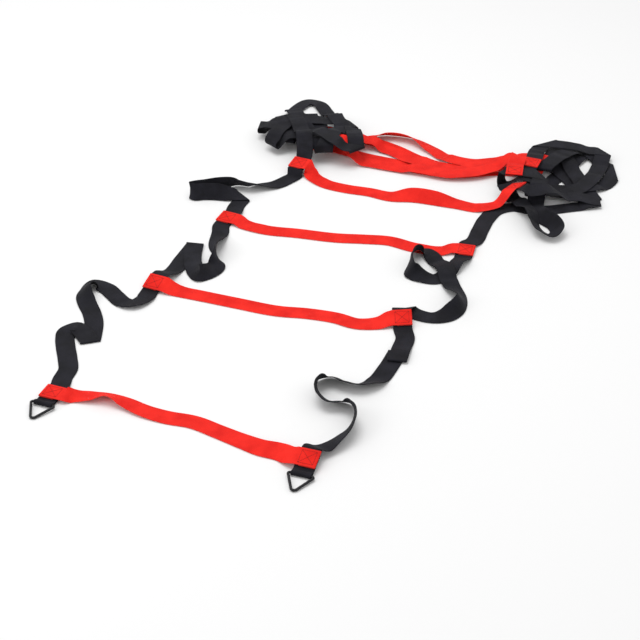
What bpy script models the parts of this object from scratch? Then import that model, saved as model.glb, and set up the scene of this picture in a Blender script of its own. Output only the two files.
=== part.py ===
"""Agility ladder of flat webbing, lying as it was thrown down.

Four rungs are laid out and the rest is gathered at the far end. Two long rails of black webbing are joined
by red webbing rungs. Each rung's end is turned under, laid flush with the rail's outer edge and sewn down
with a box and a cross. Each rail's near end is folded back round the straight bar of a black triangular ring
and sewn in under the first rung.
"""
import math
import bmesh
import bpy
import numpy as np
from mathutils import Matrix, Vector
from mathutils.bvhtree import BVHTree

# Sizes of the ladder
LADDER_WIDTH = 0.460        # outer edge of one rail to outer edge of the other, along a straight rung
PLAN_DEPTH = 0.460          # the laid-out plan's scale along the rails
WEB_WIDTH = 0.030           # rails and rungs are cut from webbing of one width
WEB_THICKNESS = 0.0012
LAYER_GAP = 0.0005          # clear space between webbing that lies on webbing
HEM_LENGTH = 0.024          # the rung's end that is turned under

# Sizes of the rings
RING_WIRE = 0.004
RING_SIDE_CLEARANCE = 0.0006    # webbing's edge to the end of the bar's straight length, each side
RING_HEIGHT = 0.033             # bar axis to apex axis
RING_CORNER = 0.0026            # bend radius of the wire's axis at each end of the bar
RING_APEX_CORNER = 0.0045
RING_BAR_CLEARANCE = 0.0004     # between the wire and the webbing folded round it
RING_REACH = 0.013              # near edge of the first rung to the ring's bar axis

# Sizes of the stitching
THREAD_WIDTH = 0.0011
THREAD_HEIGHT = 0.0004
THREAD_CLEARANCE = 0.0003
STITCH_MARGIN = 0.0035          # webbing edge to the sewn box

# How finely the webbing is divided along its length
FINE_STEP = 0.0026          # from row to row before the rows that the shape does not need are left out
LONGEST_ROW = 0.045
SHAPE_ERROR = 0.00058       # how far a kept row may leave the finely divided shape
SHORTEST_STEP = 0.0003      # stations nearer than this count as this far apart
TURN_PER_ROW = math.radians(31)
FOLD_STEPS = 4
RING_CORNER_STEPS = 4
RING_TURNS = 30             # rounds in which the ring's corners find their place

# How the webbing settles on itself
SEWN_SPARE = 0.004          # rail held flat beyond the rung's edge
SETTLED_LAYER = 0.0022      # from one layer to the next where webbing lies loose on webbing
SETTLE_CELL = 0.003         # size of a cell of the plan in which heights are compared
SETTLE_ERROR = 0.00003      # a height this little short is left
BESIDE_LENGTH = 0.020       # webbing this near a sewn place is not compared with what is sewn there
CLOSE_LENGTH = 0.045        # webbing nearer along itself than this is not compared with itself
SETTLE_TURNS = 160
SMOOTH_STEPS = 2            # rows on each side that a rise is spread over
ACROSS_STEPS = 12           # places compared across the webbing
GAP_STEPS = 6               # places measured across the webbing
RISE_SHARE = 0.9            # steepest climb of loose webbing over what it lies on
FOLD_SQUARE_SHARE = 0.05    # below this two directions count as opposite
FOLD_ORDER_SHARE = 0.05     # how much later or earlier webbing counts after a fold
RUNG_ORDER_SHARE = 0.1      # how much later a rung counts than the rail that it is sewn to
RUNG_UNDER_SHARE = 0.5      # how much earlier it counts where the sewn place is turned over

# Surfaces: colour, roughness and how strongly it shines
BLACK_WEBBING = (0.012, 0.013, 0.016), 0.85, 0.2
RED_WEBBING = (0.80, 0.045, 0.03), 0.75, 0.3
RED_THREAD = (0.62, 0.02, 0.018), 0.70, 0.3
BLACK_WIRE = (0.02, 0.02, 0.022), 0.40, 0.5

# Layers of a sewn place, counted from the rail that the rung lies on
TAIL_LAYER = -1             # the rail's end that comes back from the ring
HEM_LAYER = 1               # the rung's end that is turned under
RUNG_LAYER = 2

LAYER = WEB_THICKNESS + LAYER_GAP
HALF = WEB_WIDTH / 2
SEWN_REACH = HALF + SEWN_SPARE
LOOP_RADIUS = RING_WIRE / 2 + RING_BAR_CLEARANCE + WEB_THICKNESS / 2
LOOP_TURN = math.radians(205)   # how far the rail bends round the bar before it runs down to the sewn place

# Sewn places, one row for each rung's end: across and along the plan as shares of its scales, turn, climb
# (far side raised) and lean (right side raised) in degrees, and whether the rail runs through it backwards
LEFT_JOINT_SHARES = [
    (-0.745, -0.596, -9, 0, 0, False),
    (-0.612, 0.085, -13, 18, 0, False),
    (-0.482, 0.590, -14, 5, 0, False),
    (-0.300, 1.016, -13, 8, 0, False),
    (-0.205, 1.180, -8, 180, 0, False),
    (-0.190, 1.260, -8, 180, 0, False),
    (-0.192, 1.300, 0, 180, 0, False),
    (-0.330, 1.340, -6, 180, 0, False),
    (-0.310, 1.240, -6, 180, 0, False),
]
RIGHT_JOINT_SHARES = [
    (0.126, -0.768, -7, 16, 0, False),
    (0.277, 0.040, 12, 20, 4, False),
    (0.426, 0.545, -2, 3, 0, False),
    (0.560, 0.968, 62, -25, 0, False),
    (0.545, 1.072, -88, 0, 0, True),
    (0.600, 1.175, -10, 0, 0, True),
    (0.655, 1.245, -20, 0, 0, False),
    (0.620, 1.200, -10, 0, 0, True),
    (0.600, 1.170, -8, 0, 0, True),
]

# The rails between sewn places: across and along as shares of the plan's scales, how much later than its turn
# this place is laid when the webbing goes layer on layer, the bearing of the webbing's width and its tilt in
# degrees; a row that ends in a word is a fold, after which the webbing goes over or under itself
LEFT_ROUTE_SHARES = [
    [
        (-0.744, -0.505, 0, 0, 0), (-0.744, -0.455, 0, 5, 0), (-0.765, -0.400, 0, 20, 0),
        (-0.795, -0.335, 0, 22, 0), (-0.815, -0.285, 1, 10, 0), (-0.822, -0.250, 2, -8, 0),
        (-0.800, -0.224, 3, -75, 8), (-0.770, -0.245, 3, -130, 0), (-0.722, -0.296, 2, "under"),
        (-0.735, -0.230, 0, -168, 0), (-0.747, -0.185, 0, -160, 0), (-0.775, -0.125, 0, -155, 0),
        (-0.815, -0.065, 0, -158, -8), (-0.835, -0.030, 0, -180, -25), (-0.838, 0.012, 0, -225, -38),
        (-0.812, 0.048, 0, -275, -10), (-0.775, 0.035, 0, -305, 0), (-0.735, 0.000, 0, -310, 0),
        (-0.690, -0.038, 0, -305, 0), (-0.655, -0.045, 0, -260, -12), (-0.624, 0.000, 0, -200, -5),
    ],
    [
        (-0.578, 0.195, 0, 0, 0), (-0.566, 0.290, 0, 0, 0), (-0.553, 0.392, 1, "over"),
        (-0.536, 0.300, 3, 12, 0), (-0.515, 0.235, 3, 25, 10),
        (-0.474, 0.170, 3, 80, 35), (-0.432, 0.240, 1, 150, 20), (-0.450, 0.310, 0, 190, 90),
        (-0.475, 0.405, 0, 185, 155), (-0.483, 0.490, 0, 180, 180),
    ],
    [
        (-0.474, 0.690, 0, 0, 0), (-0.461, 0.765, 1, "over"),
        (-0.518, 0.752, 3, -95, -22), (-0.565, 0.738, 3, -92, -58), (-0.612, 0.728, 3, -82, -62),
        (-0.650, 0.716, 3, -78, -64), (-0.664, 0.723, 2, -78, -68), (-0.652, 0.736, 1, -80, -68),
        (-0.612, 0.757, 0, -80, -74), (-0.560, 0.798, 0, 100, -78), (-0.505, 0.832, 0, -90, 50),
        (-0.455, 0.830, 0, -85, 42), (-0.415, 0.855, 0, -68, 20), (-0.362, 0.890, 0, -42, 0),
        (-0.330, 0.935, 0, -22, 0),
    ],
    [
        (-0.297, 1.105, 0, 3, 0), (-0.325, 1.195, 0, 20, 0), (-0.360, 1.280, 0, 16, 0),
        (-0.393, 1.345, 0, "under"), (-0.423, 1.252, 0, 196, 0), (-0.449, 1.148, 0, "under"),
        (-0.362, 1.202, 0, 76, 0), (-0.285, 1.213, 0, 98, 0), (-0.222, 1.172, 0, 58, 0),
        (-0.165, 1.122, 0, 66, 0), (-0.086, 1.110, 0, "under"), (-0.138, 1.285, 0, "under"),
    ],
    [
        (-0.215, 1.100, 0, "under"), (-0.300, 1.235, 0, 36, 0), (-0.396, 1.385, 0, 28, 0),
        (-0.433, 1.478, 0, 9, 3), (-0.423, 1.565, 0, -21, 6), (-0.390, 1.620, 0, -62, 8),
        (-0.351, 1.612, 0, -125, 8), (-0.308, 1.555, 0, -145, 5), (-0.268, 1.485, 0, -150, 0),
        (-0.228, 1.398, 0, -159, 0),
    ],
    [
        (-0.198, 1.200, 0, "under"), (-0.330, 1.235, 0, 80, 0), (-0.530, 1.285, 0, "under"),
        (-0.400, 1.335, 0, 105, 0), (-0.260, 1.370, 0, 100, 0), (-0.155, 1.412, 0, "under"),
    ],
    [
        (-0.194, 1.250, 0, "under"), (-0.330, 1.345, 0, 60, 0), (-0.470, 1.440, 0, "under"),
        (-0.430, 1.350, 0, 195, 0), (-0.400, 1.215, 0, "under"), (-0.370, 1.330, 0, 15, 0),
        (-0.330, 1.465, 0, "under"),
    ],
    [
        (-0.335, 1.275, 0, "under"), (-0.350, 1.390, 0, 10, 0), (-0.365, 1.510, 0, "under"),
        (-0.310, 1.380, 0, 200, 0), (-0.265, 1.240, 0, "under"), (-0.285, 1.330, 0, 15, 0),
        (-0.305, 1.430, 0, "under"),
    ],
]
RIGHT_ROUTE_SHARES = [
    [
        (0.165, -0.690, 0, -45, 15), (0.198, -0.645, 0, -60, 30), (0.219, -0.600, 0, -78, 34),
        (0.225, -0.555, 0, -78, 34), (0.215, -0.505, 0, -78, 34), (0.192, -0.473, 0, -78, 34),
        (0.165, -0.466, 0, -78, 34), (0.125, -0.473, 0, -78, 34), (0.092, -0.447, 0, -78, 34),
        (0.076, -0.405, 0, -78, 34), (0.080, -0.368, 0, -78, 34), (0.107, -0.345, 0, -78, 34),
        (0.155, -0.358, 0, -78, 34), (0.205, -0.362, 0, -78, 34), (0.240, -0.335, 0, -65, 25),
        (0.262, -0.290, 0, -15, 0), (0.277, -0.225, 0, -8, 0), (0.292, -0.135, 1, "over"),
        (0.296, -0.165, 2, -32, 0), (0.300, -0.195, 3, "over"), (0.302, -0.110, 4, -5, 0),
        (0.303, -0.050, 4, 3, 0),
    ],
    [
        (0.274, 0.125, -0.5, "under"), (0.325, 0.098, -1, 75, 0), (0.370, 0.090, -1, 90, 0),
        (0.415, 0.103, 0, 120, 15), (0.448, 0.135, 0, 160, 40), (0.462, 0.175, 0, 175, 55),
        (0.448, 0.228, 0, 200, 35), (0.418, 0.285, 0, 215, 10), (0.392, 0.340, 3, 220, 0),
        (0.372, 0.395, 4, 222, 0), (0.330, 0.455, 4, 222, 0), (0.300, 0.490, 4, 235, 5),
        (0.268, 0.490, 4, 270, 35), (0.246, 0.405, 0, 340, 75), (0.260, 0.335, 0, 390, 50),
        (0.295, 0.335, 0, 440, 15), (0.345, 0.335, 0, 460, 0), (0.385, 0.385, 0, 490, 0),
        (0.408, 0.450, 0, 515, -20),
    ],
    [
        (0.447, 0.620, 0, -12, 0), (0.460, 0.705, 0, -10, 0), (0.474, 0.795, -2, -15, 0),
        (0.503, 0.868, -2, -45, 0), (0.560, 0.905, -2, -85, 0), (0.630, 0.897, -2, -92, 0),
        (0.700, 0.914, -2, -75, 0), (0.775, 0.948, -2, -70, 0), (0.885, 0.995, 0, "over"),
        (0.780, 0.999, 0, -91, 0), (0.672, 0.956, 0, -104, 0),
    ],
    [
        (0.515, 1.006, 0, "under"), (0.588, 0.915, 0, 215, 0), (0.632, 0.835, 0, 210, 30),
        (0.656, 0.765, 0, 200, 45), (0.690, 0.712, 0, 235, 35), (0.722, 0.702, 0, 290, 20),
        (0.742, 0.738, 0, 350, 35), (0.720, 0.785, 0, 420, 50), (0.680, 0.825, 0, 425, 40),
        (0.650, 0.895, 0, 375, 12), (0.645, 0.990, 0, 362, 0), (0.655, 1.062, 0, "under"),
        (0.607, 1.072, 0, 450, 0),
    ],
    [
        (0.494, 1.076, 0, "under"), (0.590, 1.050, 0, 255, 0), (0.690, 1.030, 0, 268, 0),
        (0.780, 1.055, 0, 305, 0), (0.830, 1.140, 0, 332, 0), (0.860, 1.260, 0, 350, 0),
        (0.875, 1.395, 0, "under"), (0.770, 1.385, 0, 98, 0), (0.635, 1.375, 0, "under"),
        (0.610, 1.280, 0, 165, 0),
    ],
    [
        (0.592, 1.085, 0, "under"), (0.690, 1.075, 0, 88, 0), (0.800, 1.090, 0, 110, 0),
        (0.885, 1.140, 0, 145, 0), (0.928, 1.262, 0, "under"), (0.865, 1.330, 0, 45, 0),
        (0.790, 1.415, 0, "under"), (0.720, 1.310, 0, 140, 0), (0.650, 1.165, 0, "under"),
    ],
    [
        (0.685, 1.390, 0, "under"), (0.760, 1.230, 0, 205, 0), (0.862, 1.015, 0, "under"),
        (0.760, 1.150, 0, 40, 0), (0.640, 1.320, 0, "under"), (0.626, 1.270, 0, 180, 0),
    ],
    [
        (0.628, 1.000, 0, "under"), (0.710, 1.190, 0, -25, 0), (0.800, 1.400, 0, "under"),
        (0.710, 1.360, 0, 110, 0), (0.625, 1.330, 0, "under"), (0.608, 1.260, 0, 180, 0),
    ],
]

# The free middle of each rung, from left to right, given like the rails
RUNG_ROUTE_SHARES = [
    [
        (-0.675, -0.592, 1, -95, 0), (-0.620, -0.585, 0, -90, 10), (-0.560, -0.580, 0, -95, 30),
        (-0.500, -0.595, 0, -105, 12), (-0.430, -0.620, 0, -108, 5), (-0.350, -0.635, 0, -98, 0),
        (-0.270, -0.640, 0, -98, 0), (-0.180, -0.670, 0, -108, 0), (-0.090, -0.705, 0, -108, -5),
        (-0.030, -0.728, 0, -103, -12), (0.035, -0.741, 0, -100, -18),
    ],
    [
        (-0.530, 0.070, 0, -100, -5), (-0.430, 0.058, 0, -96, 0), (-0.300, 0.040, 0, -96, 0),
        (-0.150, 0.022, 0, -92, 0), (-0.050, 0.028, 0, -90, 0), (0.050, 0.022, 0, -95, 0),
        (0.130, 0.002, 0, -92, 0), (0.200, 0.015, 0, -75, -8),
    ],
    [
        (-0.410, 0.565, 0, -112, 0), (-0.330, 0.545, 0, -95, 0), (-0.200, 0.545, 0, -90, 0),
        (-0.050, 0.543, 0, -90, 0), (0.050, 0.555, 0, -85, 0), (0.140, 0.562, 0, -92, 0),
        (0.240, 0.535, 0, -100, 0), (0.340, 0.530, 0, -85, 0),
    ],
    [
        (-0.238, 0.982, 0, -130, 0), (-0.180, 0.938, 0, -115, 0), (-0.095, 0.915, 0, -98, 0),
        (0.010, 0.905, 0, -96, 0), (0.090, 0.885, 0, -90, -5), (0.170, 0.890, 0, -85, -30),
        (0.260, 0.885, 0, -90, -30), (0.350, 0.880, 0, -88, -5), (0.430, 0.870, 0, -75, 0),
        (0.500, 0.900, 0, -50, 12),
    ],
    [
        (-0.120, 1.145, 0, -100, 0), (-0.020, 1.130, 0, -100, 0), (0.080, 1.115, 0, -95, 0),
        (0.180, 1.105, 0, -95, 0), (0.290, 1.090, 0, -90, 0), (0.380, 1.115, 0, -65, 0),
        (0.460, 1.168, -0.2, -75, 0), (0.548, 1.200, -0.3, "over"),
    ],
    [
        (-0.100, 1.275, 0, -90, 0), (0.020, 1.255, 0, -115, 0), (0.110, 1.200, 0, -120, 0),
        (0.200, 1.155, 0, -110, 0), (0.280, 1.135, 0, -92, 0), (0.360, 1.145, 0, -75, 0),
        (0.440, 1.170, 0, -75, 0), (0.520, 1.185, 0, -90, 0),
    ],
    [
        (-0.105, 1.312, 0, -82, 0), (-0.010, 1.365, 0, -90, 35), (0.090, 1.360, 0, -110, 35),
        (0.190, 1.295, 0, -125, 10), (0.280, 1.225, 0, -115, 0), (0.370, 1.210, 0, -80, 0),
        (0.460, 1.240, 0, -70, 0), (0.560, 1.275, 0, -85, 0),
    ],
    [
        (-0.200, 1.340, 0, -90, 0), (-0.080, 1.330, 0, -100, 0), (0.030, 1.285, 0, -115, 0),
        (0.130, 1.220, 0, -120, 0), (0.210, 1.175, 0, -105, 0), (0.340, 1.160, 0, -85, 0),
        (0.450, 1.180, 0, -78, 0), (0.550, 1.200, 0, -88, 0),
    ],
    [
        (-0.180, 1.225, 0, -95, 0), (-0.080, 1.190, 0, -100, 0), (0.060, 1.160, 0, -100, 0),
        (0.200, 1.120, 0, -95, 0), (0.340, 1.130, 0, -80, 0), (0.450, 1.170, 0, -75, 0),
        (0.530, 1.180, 0, -90, 0),
    ],
]


def unit(v):
    """The vector at length one."""
    return v / np.linalg.norm(v)


def bearing(degrees, tilt=0.0):
    """Direction with a bearing from +X and a tilt above the horizontal."""
    a, b = math.radians(degrees), math.radians(tilt)
    return np.array([math.cos(b) * math.cos(a), math.cos(b) * math.sin(a), math.sin(b)])


def rests_at(lift, tilt):
    """Height of the webbing's middle when its lowest edge lies that many layers up."""
    b = math.radians(tilt)
    return lift * LAYER + abs(math.sin(b)) * HALF + abs(math.cos(b)) * WEB_THICKNESS / 2


class Joint:
    """A sewn place: its axes run along the rung, along the rail and up out of the webbing."""

    def __init__(self, row, number):
        x_share, y_share, turn, climb, lean, self.backwards = row
        along_rung = unit(bearing(turn, lean))
        along_rail = bearing(turn + 90, climb)
        along_rail = unit(along_rail - along_rung * float(along_rail @ along_rung))
        self.rung = along_rung
        self.rail = along_rail
        self.up = np.cross(along_rung, along_rail)
        self.group = number
        self.order = -float(number % len(LEFT_JOINT_SHARES))
        self.rung_order = self.order + (RUNG_ORDER_SHARE if self.up[2] > 0 else -RUNG_UNDER_SHARE)
        carries_ring = row in (LEFT_JOINT_SHARES[0], RIGHT_JOINT_SHARES[0])
        height = rests_at(-TAIL_LAYER if carries_ring else 0, 0)
        height += HALF * (abs(along_rail[2]) + abs(along_rung[2]))
        self.place = np.array([x_share * LADDER_WIDTH, y_share * PLAN_DEPTH, height])

    def at(self, across, along, layer):
        """A point in the sewn place; layer 0 is the rail that the rung is sewn to."""
        return self.place + self.rung * across + self.rail * along + self.up * (layer * LAYER)


class Ribbon:
    """Webbing as rows: middle, half-width arm, thickness direction, order, sewn place, in a fold or not."""

    def __init__(self, name):
        self.name = name
        self.rows = []
        self.trims = []

    def add(self, place, arm, normal, order, group=-1, folded=False):
        self.rows.append((np.array(place), np.array(arm), np.array(normal), order, group, folded))

    def last(self):
        """The row laid last."""
        return self.rows[-1]

    def drop_rows_within(self, reach, place, first):
        """Remove the last rows that lie nearer a fold than its slanting crease reaches."""
        while len(self.rows) > first + 1 and np.linalg.norm(self.rows[-1][0] - place) < reach:
            self.rows.pop()


def glide(ribbon, places, widths, orders, t_first, t_last):
    """Lay smooth webbing through the stations; the first one is already laid."""
    p = np.array(places)
    data = np.hstack([p, np.array(widths)])
    h = np.maximum(np.linalg.norm(np.diff(p, axis=0), axis=1), SHORTEST_STEP)[:, None]
    rate = np.diff(data, axis=0) / h
    slope = np.zeros_like(data)
    slope[1:-1] = (rate[:-1] * h[1:] + rate[1:] * h[:-1]) / (h[:-1] + h[1:])
    slope[0], slope[-1] = rate[0], rate[-1]
    slope[0, :3], slope[-1, :3] = t_first, t_last
    rows = []
    for i in range(len(p) - 1):
        count = max(2, math.ceil(float(h[i, 0]) / FINE_STEP))
        for k in range(1, count + 1):
            u = k / count
            a, b = 2 * u**3 - 3 * u**2 + 1, u**3 - 2 * u**2 + u
            c, d = -2 * u**3 + 3 * u**2, u**3 - u**2
            row = a * data[i] + c * data[i + 1] + h[i, 0] * (b * slope[i] + d * slope[i + 1])
            rows.append((row, orders[i] + u * (orders[i + 1] - orders[i])))
    track = np.vstack([data[0, :3]] + [row[:3] for row, _ in rows])
    for k, (row, order) in enumerate(rows, start=1):
        ahead = track[k + 1] - track[k - 1] if k + 1 < len(track) else np.array(t_last)
        t = unit(ahead)
        w = unit(row[3:] - t * float(t @ row[3:]))
        ribbon.add(row[:3], w * HALF, np.cross(t, w), order)


def fold(ribbon, start, t_in, t_out, w_in, over, orders):
    """Turn the webbing over a crease, so that it leaves on top of itself or beneath.

    Returns where it ends, its width and how far the crease's slant reaches along the webbing.
    """
    middle = t_in + t_out
    crease = unit(middle) if np.linalg.norm(middle) > FOLD_SQUARE_SHARE else np.array(w_in)
    if crease @ w_in < 0:
        crease = -crease
    out = unit(t_in - crease * float(t_in @ crease))
    slant = float(t_in @ crease) / float(t_in @ out)
    arm = crease * HALF / float(crease @ w_in)
    side = 1 if over else -1
    up = np.array([0.0, 0.0, float(side)])
    radius = SETTLED_LAYER / 2
    flat_normal = np.cross(t_in, w_in)
    sign = 1 if flat_normal @ np.cross(out, arm) > 0 else -1
    for k in range(FOLD_STEPS + 1):
        a = math.pi * k / FOLD_STEPS
        place = start + out * radius * math.sin(a) + up * radius * (1 - math.cos(a))
        place = place + crease * slant * radius * a
        travel = out * math.cos(a) + up * math.sin(a)
        share = k / FOLD_STEPS
        order = orders[0] + share * (orders[1] - orders[0])
        ribbon.add(place, arm, sign * unit(np.cross(travel, arm)), order, folded=True)
    w_out = 2 * float(crease @ w_in) * crease - w_in
    return np.array(ribbon.last()[0]), w_out, HALF * abs(slant)


def fold_levels(table):
    """How far a fold close by lifts each place, so that webbing stays clear of its own other layer."""
    spots = np.array([[row[0] * LADDER_WIDTH, row[1] * PLAN_DEPTH] for row in table])
    along = np.concatenate([[0.0], np.cumsum(np.linalg.norm(np.diff(spots, axis=0), axis=1))])
    levels = [0.0] * len(table)
    for k, row in enumerate(table):
        if len(row) == 5:
            continue
        for j in range(len(table)):
            near = 0 < abs(along[j] - along[k]) < CLOSE_LENGTH
            if near and ((row[3] == "over" and j > k) or (row[3] == "under" and j < k)):
                levels[j] += SETTLED_LAYER
    return levels


def run_between(ribbon, leave, arrive, table):
    """Lay the webbing from one fixed place to the next; each is a place, direction, width and order."""
    place, t_first, width, order = leave
    places, widths, orders = [place], [width], [order]
    begin = len(ribbon.rows)
    per_row = (arrive[3] - order) / (len(table) + 1)
    table = [(x, y, order + per_row * (k + 1) + early, *rest) for k, (x, y, early, *rest) in enumerate(table)]
    levels = fold_levels(table)
    for index, row in enumerate(table):
        spot = np.array([row[0] * LADDER_WIDTH, row[1] * PLAN_DEPTH, rests_at(0, 0) + levels[index]])
        if len(row) == 5:
            spot[2] = rests_at(0, row[4]) + levels[index]
            width = bearing(row[3], row[4])
            width = width if width @ widths[-1] >= 0 else -width
            places.append(spot)
            widths.append(width)
            orders.append(row[2])
            continue
        over = row[3] == "over"
        following = (table[index + 1:] + [None])[0]
        if following:
            target = np.array([following[0] * LADDER_WIDTH, following[1] * PLAN_DEPTH, spot[2]])
        else:
            target = np.array([arrive[0][0], arrive[0][1], spot[2]])
        t_in = (spot - places[-1]) * np.array([1.0, 1.0, 0.0])
        t_in = unit(t_in)
        t_out = unit(target - spot)
        width = np.cross(t_in, [0.0, 0.0, 1.0])
        width = width if width @ widths[-1] >= 0 else -width
        start = spot - t_in * SETTLED_LAYER / 2
        if not over:
            start[2] += SETTLED_LAYER
        glide(ribbon, places + [start], widths + [width], orders + [row[2]], t_first, t_in)
        later = row[2] + (FOLD_ORDER_SHARE if over else -FOLD_ORDER_SHARE)
        trimmed = Ribbon("crease")
        place, width, reach = fold(trimmed, start, t_in, t_out, width, over, (row[2], later))
        ribbon.drop_rows_within(reach + FINE_STEP / 2, start, begin)
        ribbon.rows += trimmed.rows
        begin = len(ribbon.rows)
        trim_after = (reach + FINE_STEP / 2, place, begin)
        places, widths, orders = [place], [width], [later]
        t_first = t_out
        ribbon.trims.append(trim_after)
    place, t_last, width, order = arrive
    width = width if width @ widths[-1] >= 0 else -width
    glide(ribbon, places + [place], widths + [width], orders + [order], t_first, t_last)
    for reach, near, first in reversed(ribbon.trims):
        while first < len(ribbon.rows) - 1 and np.linalg.norm(ribbon.rows[first][0] - near) < reach:
            ribbon.rows.pop(first)
    ribbon.trims = []
    return width


def straight(ribbon, joint, start, end, travel, width):
    """Lay flat webbing between two points of a sewn place, the first one included."""
    count = max(1, math.ceil(float(np.linalg.norm(end - start)) / FINE_STEP))
    normal = np.cross(travel, width)
    for k in range(count + 1):
        ribbon.add(start + (end - start) * (k / count), width * HALF, normal, joint.order, joint.group)


def hairpin(ribbon, joint, centre, radius, out, up, width, sweep=math.pi):
    """Bend the webbing round a centre, from below or above it, towards its outer side."""
    for k in range(1, FOLD_STEPS + 1):
        a = sweep * k / FOLD_STEPS
        place = centre + out * radius * math.sin(a) - up * radius * math.cos(a)
        travel = out * math.cos(a) + up * math.sin(a)
        ribbon.add(place, width * HALF, np.cross(travel, width), joint.order, joint.group)


def build_rail(name, joints, routes):
    """A rail: folded back round its ring, then through every sewn place to its far end."""
    ribbon = Ribbon(name)
    first = joints[0]
    width = first.rung
    bar = ring_bar(first)
    level = first.at(0, 0, TAIL_LAYER)
    foot = bar - first.up * LOOP_RADIUS
    straight(ribbon, first, level + first.rail * (HALF - STITCH_MARGIN), foot, -first.rail, width)
    hairpin(ribbon, first, bar, LOOP_RADIUS, -first.rail, first.up, width, LOOP_TURN)
    leaving = -first.rail * math.cos(LOOP_TURN) + first.up * math.sin(LOOP_TURN)
    entry = first.at(0, -SEWN_REACH, 0)
    loop_end = len(ribbon.rows)
    glide(ribbon, [ribbon.last()[0], entry], [width, width], [first.order] * 2, leaving, first.rail)
    ribbon.rows[loop_end:] = [row[:4] + (first.group, False) for row in ribbon.rows[loop_end:]]
    for index, joint in enumerate(joints):
        travel = -joint.rail if joint.backwards else joint.rail
        start, end = joint.place - travel * SEWN_REACH, joint.place + travel * SEWN_REACH
        if index:
            before = joints[index - 1]
            leave = (ribbon.last()[0], sewn_travel, width, before.order)
            width = run_between(ribbon, leave, (start, travel, joint.rung, joint.order), routes[index - 1])
        straight(ribbon, joint, start + travel * FINE_STEP / 2, end, travel, width)
        sewn_travel = travel
    return ribbon


def ring_bar(joint):
    """Middle of the ring's straight bar, round which the rail is folded back."""
    return joint.at(0, -(HALF + RING_REACH), TAIL_LAYER) + joint.up * LOOP_RADIUS


def build_rung(name, left, right, route):
    """A rung: turned under at each end and laid over both rails."""
    ribbon = Ribbon(name)
    width = -left.rail
    turn = LAYER / 2
    between = (HEM_LAYER + RUNG_LAYER) / 2
    start, end = left.at(HEM_LENGTH - HALF, 0, HEM_LAYER), left.at(turn - HALF, 0, HEM_LAYER)
    straight(ribbon, left, start, end, -left.rung, width)
    hairpin(ribbon, left, left.at(turn - HALF, 0, between), turn, -left.rung, left.up, width)
    start, end = left.at(turn - HALF + FINE_STEP, 0, RUNG_LAYER), left.at(SEWN_REACH, 0, RUNG_LAYER)
    straight(ribbon, left, start, end, left.rung, width)
    leave = (ribbon.last()[0], left.rung, width, left.rung_order)
    arrive = (right.at(-SEWN_REACH, 0, RUNG_LAYER), right.rung, right.rail, right.rung_order)
    width = run_between(ribbon, leave, arrive, route)
    start, end = right.at(FINE_STEP - SEWN_REACH, 0, RUNG_LAYER), right.at(HALF - turn, 0, RUNG_LAYER)
    straight(ribbon, right, start, end, right.rung, width)
    hairpin(ribbon, right, right.at(HALF - turn, 0, between), turn, right.rung, -right.up, width)
    start, end = right.at(HALF - turn - FINE_STEP, 0, HEM_LAYER), right.at(HALF - HEM_LENGTH, 0, HEM_LAYER)
    straight(ribbon, right, start, end, -right.rung, width)
    return ribbon


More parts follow.
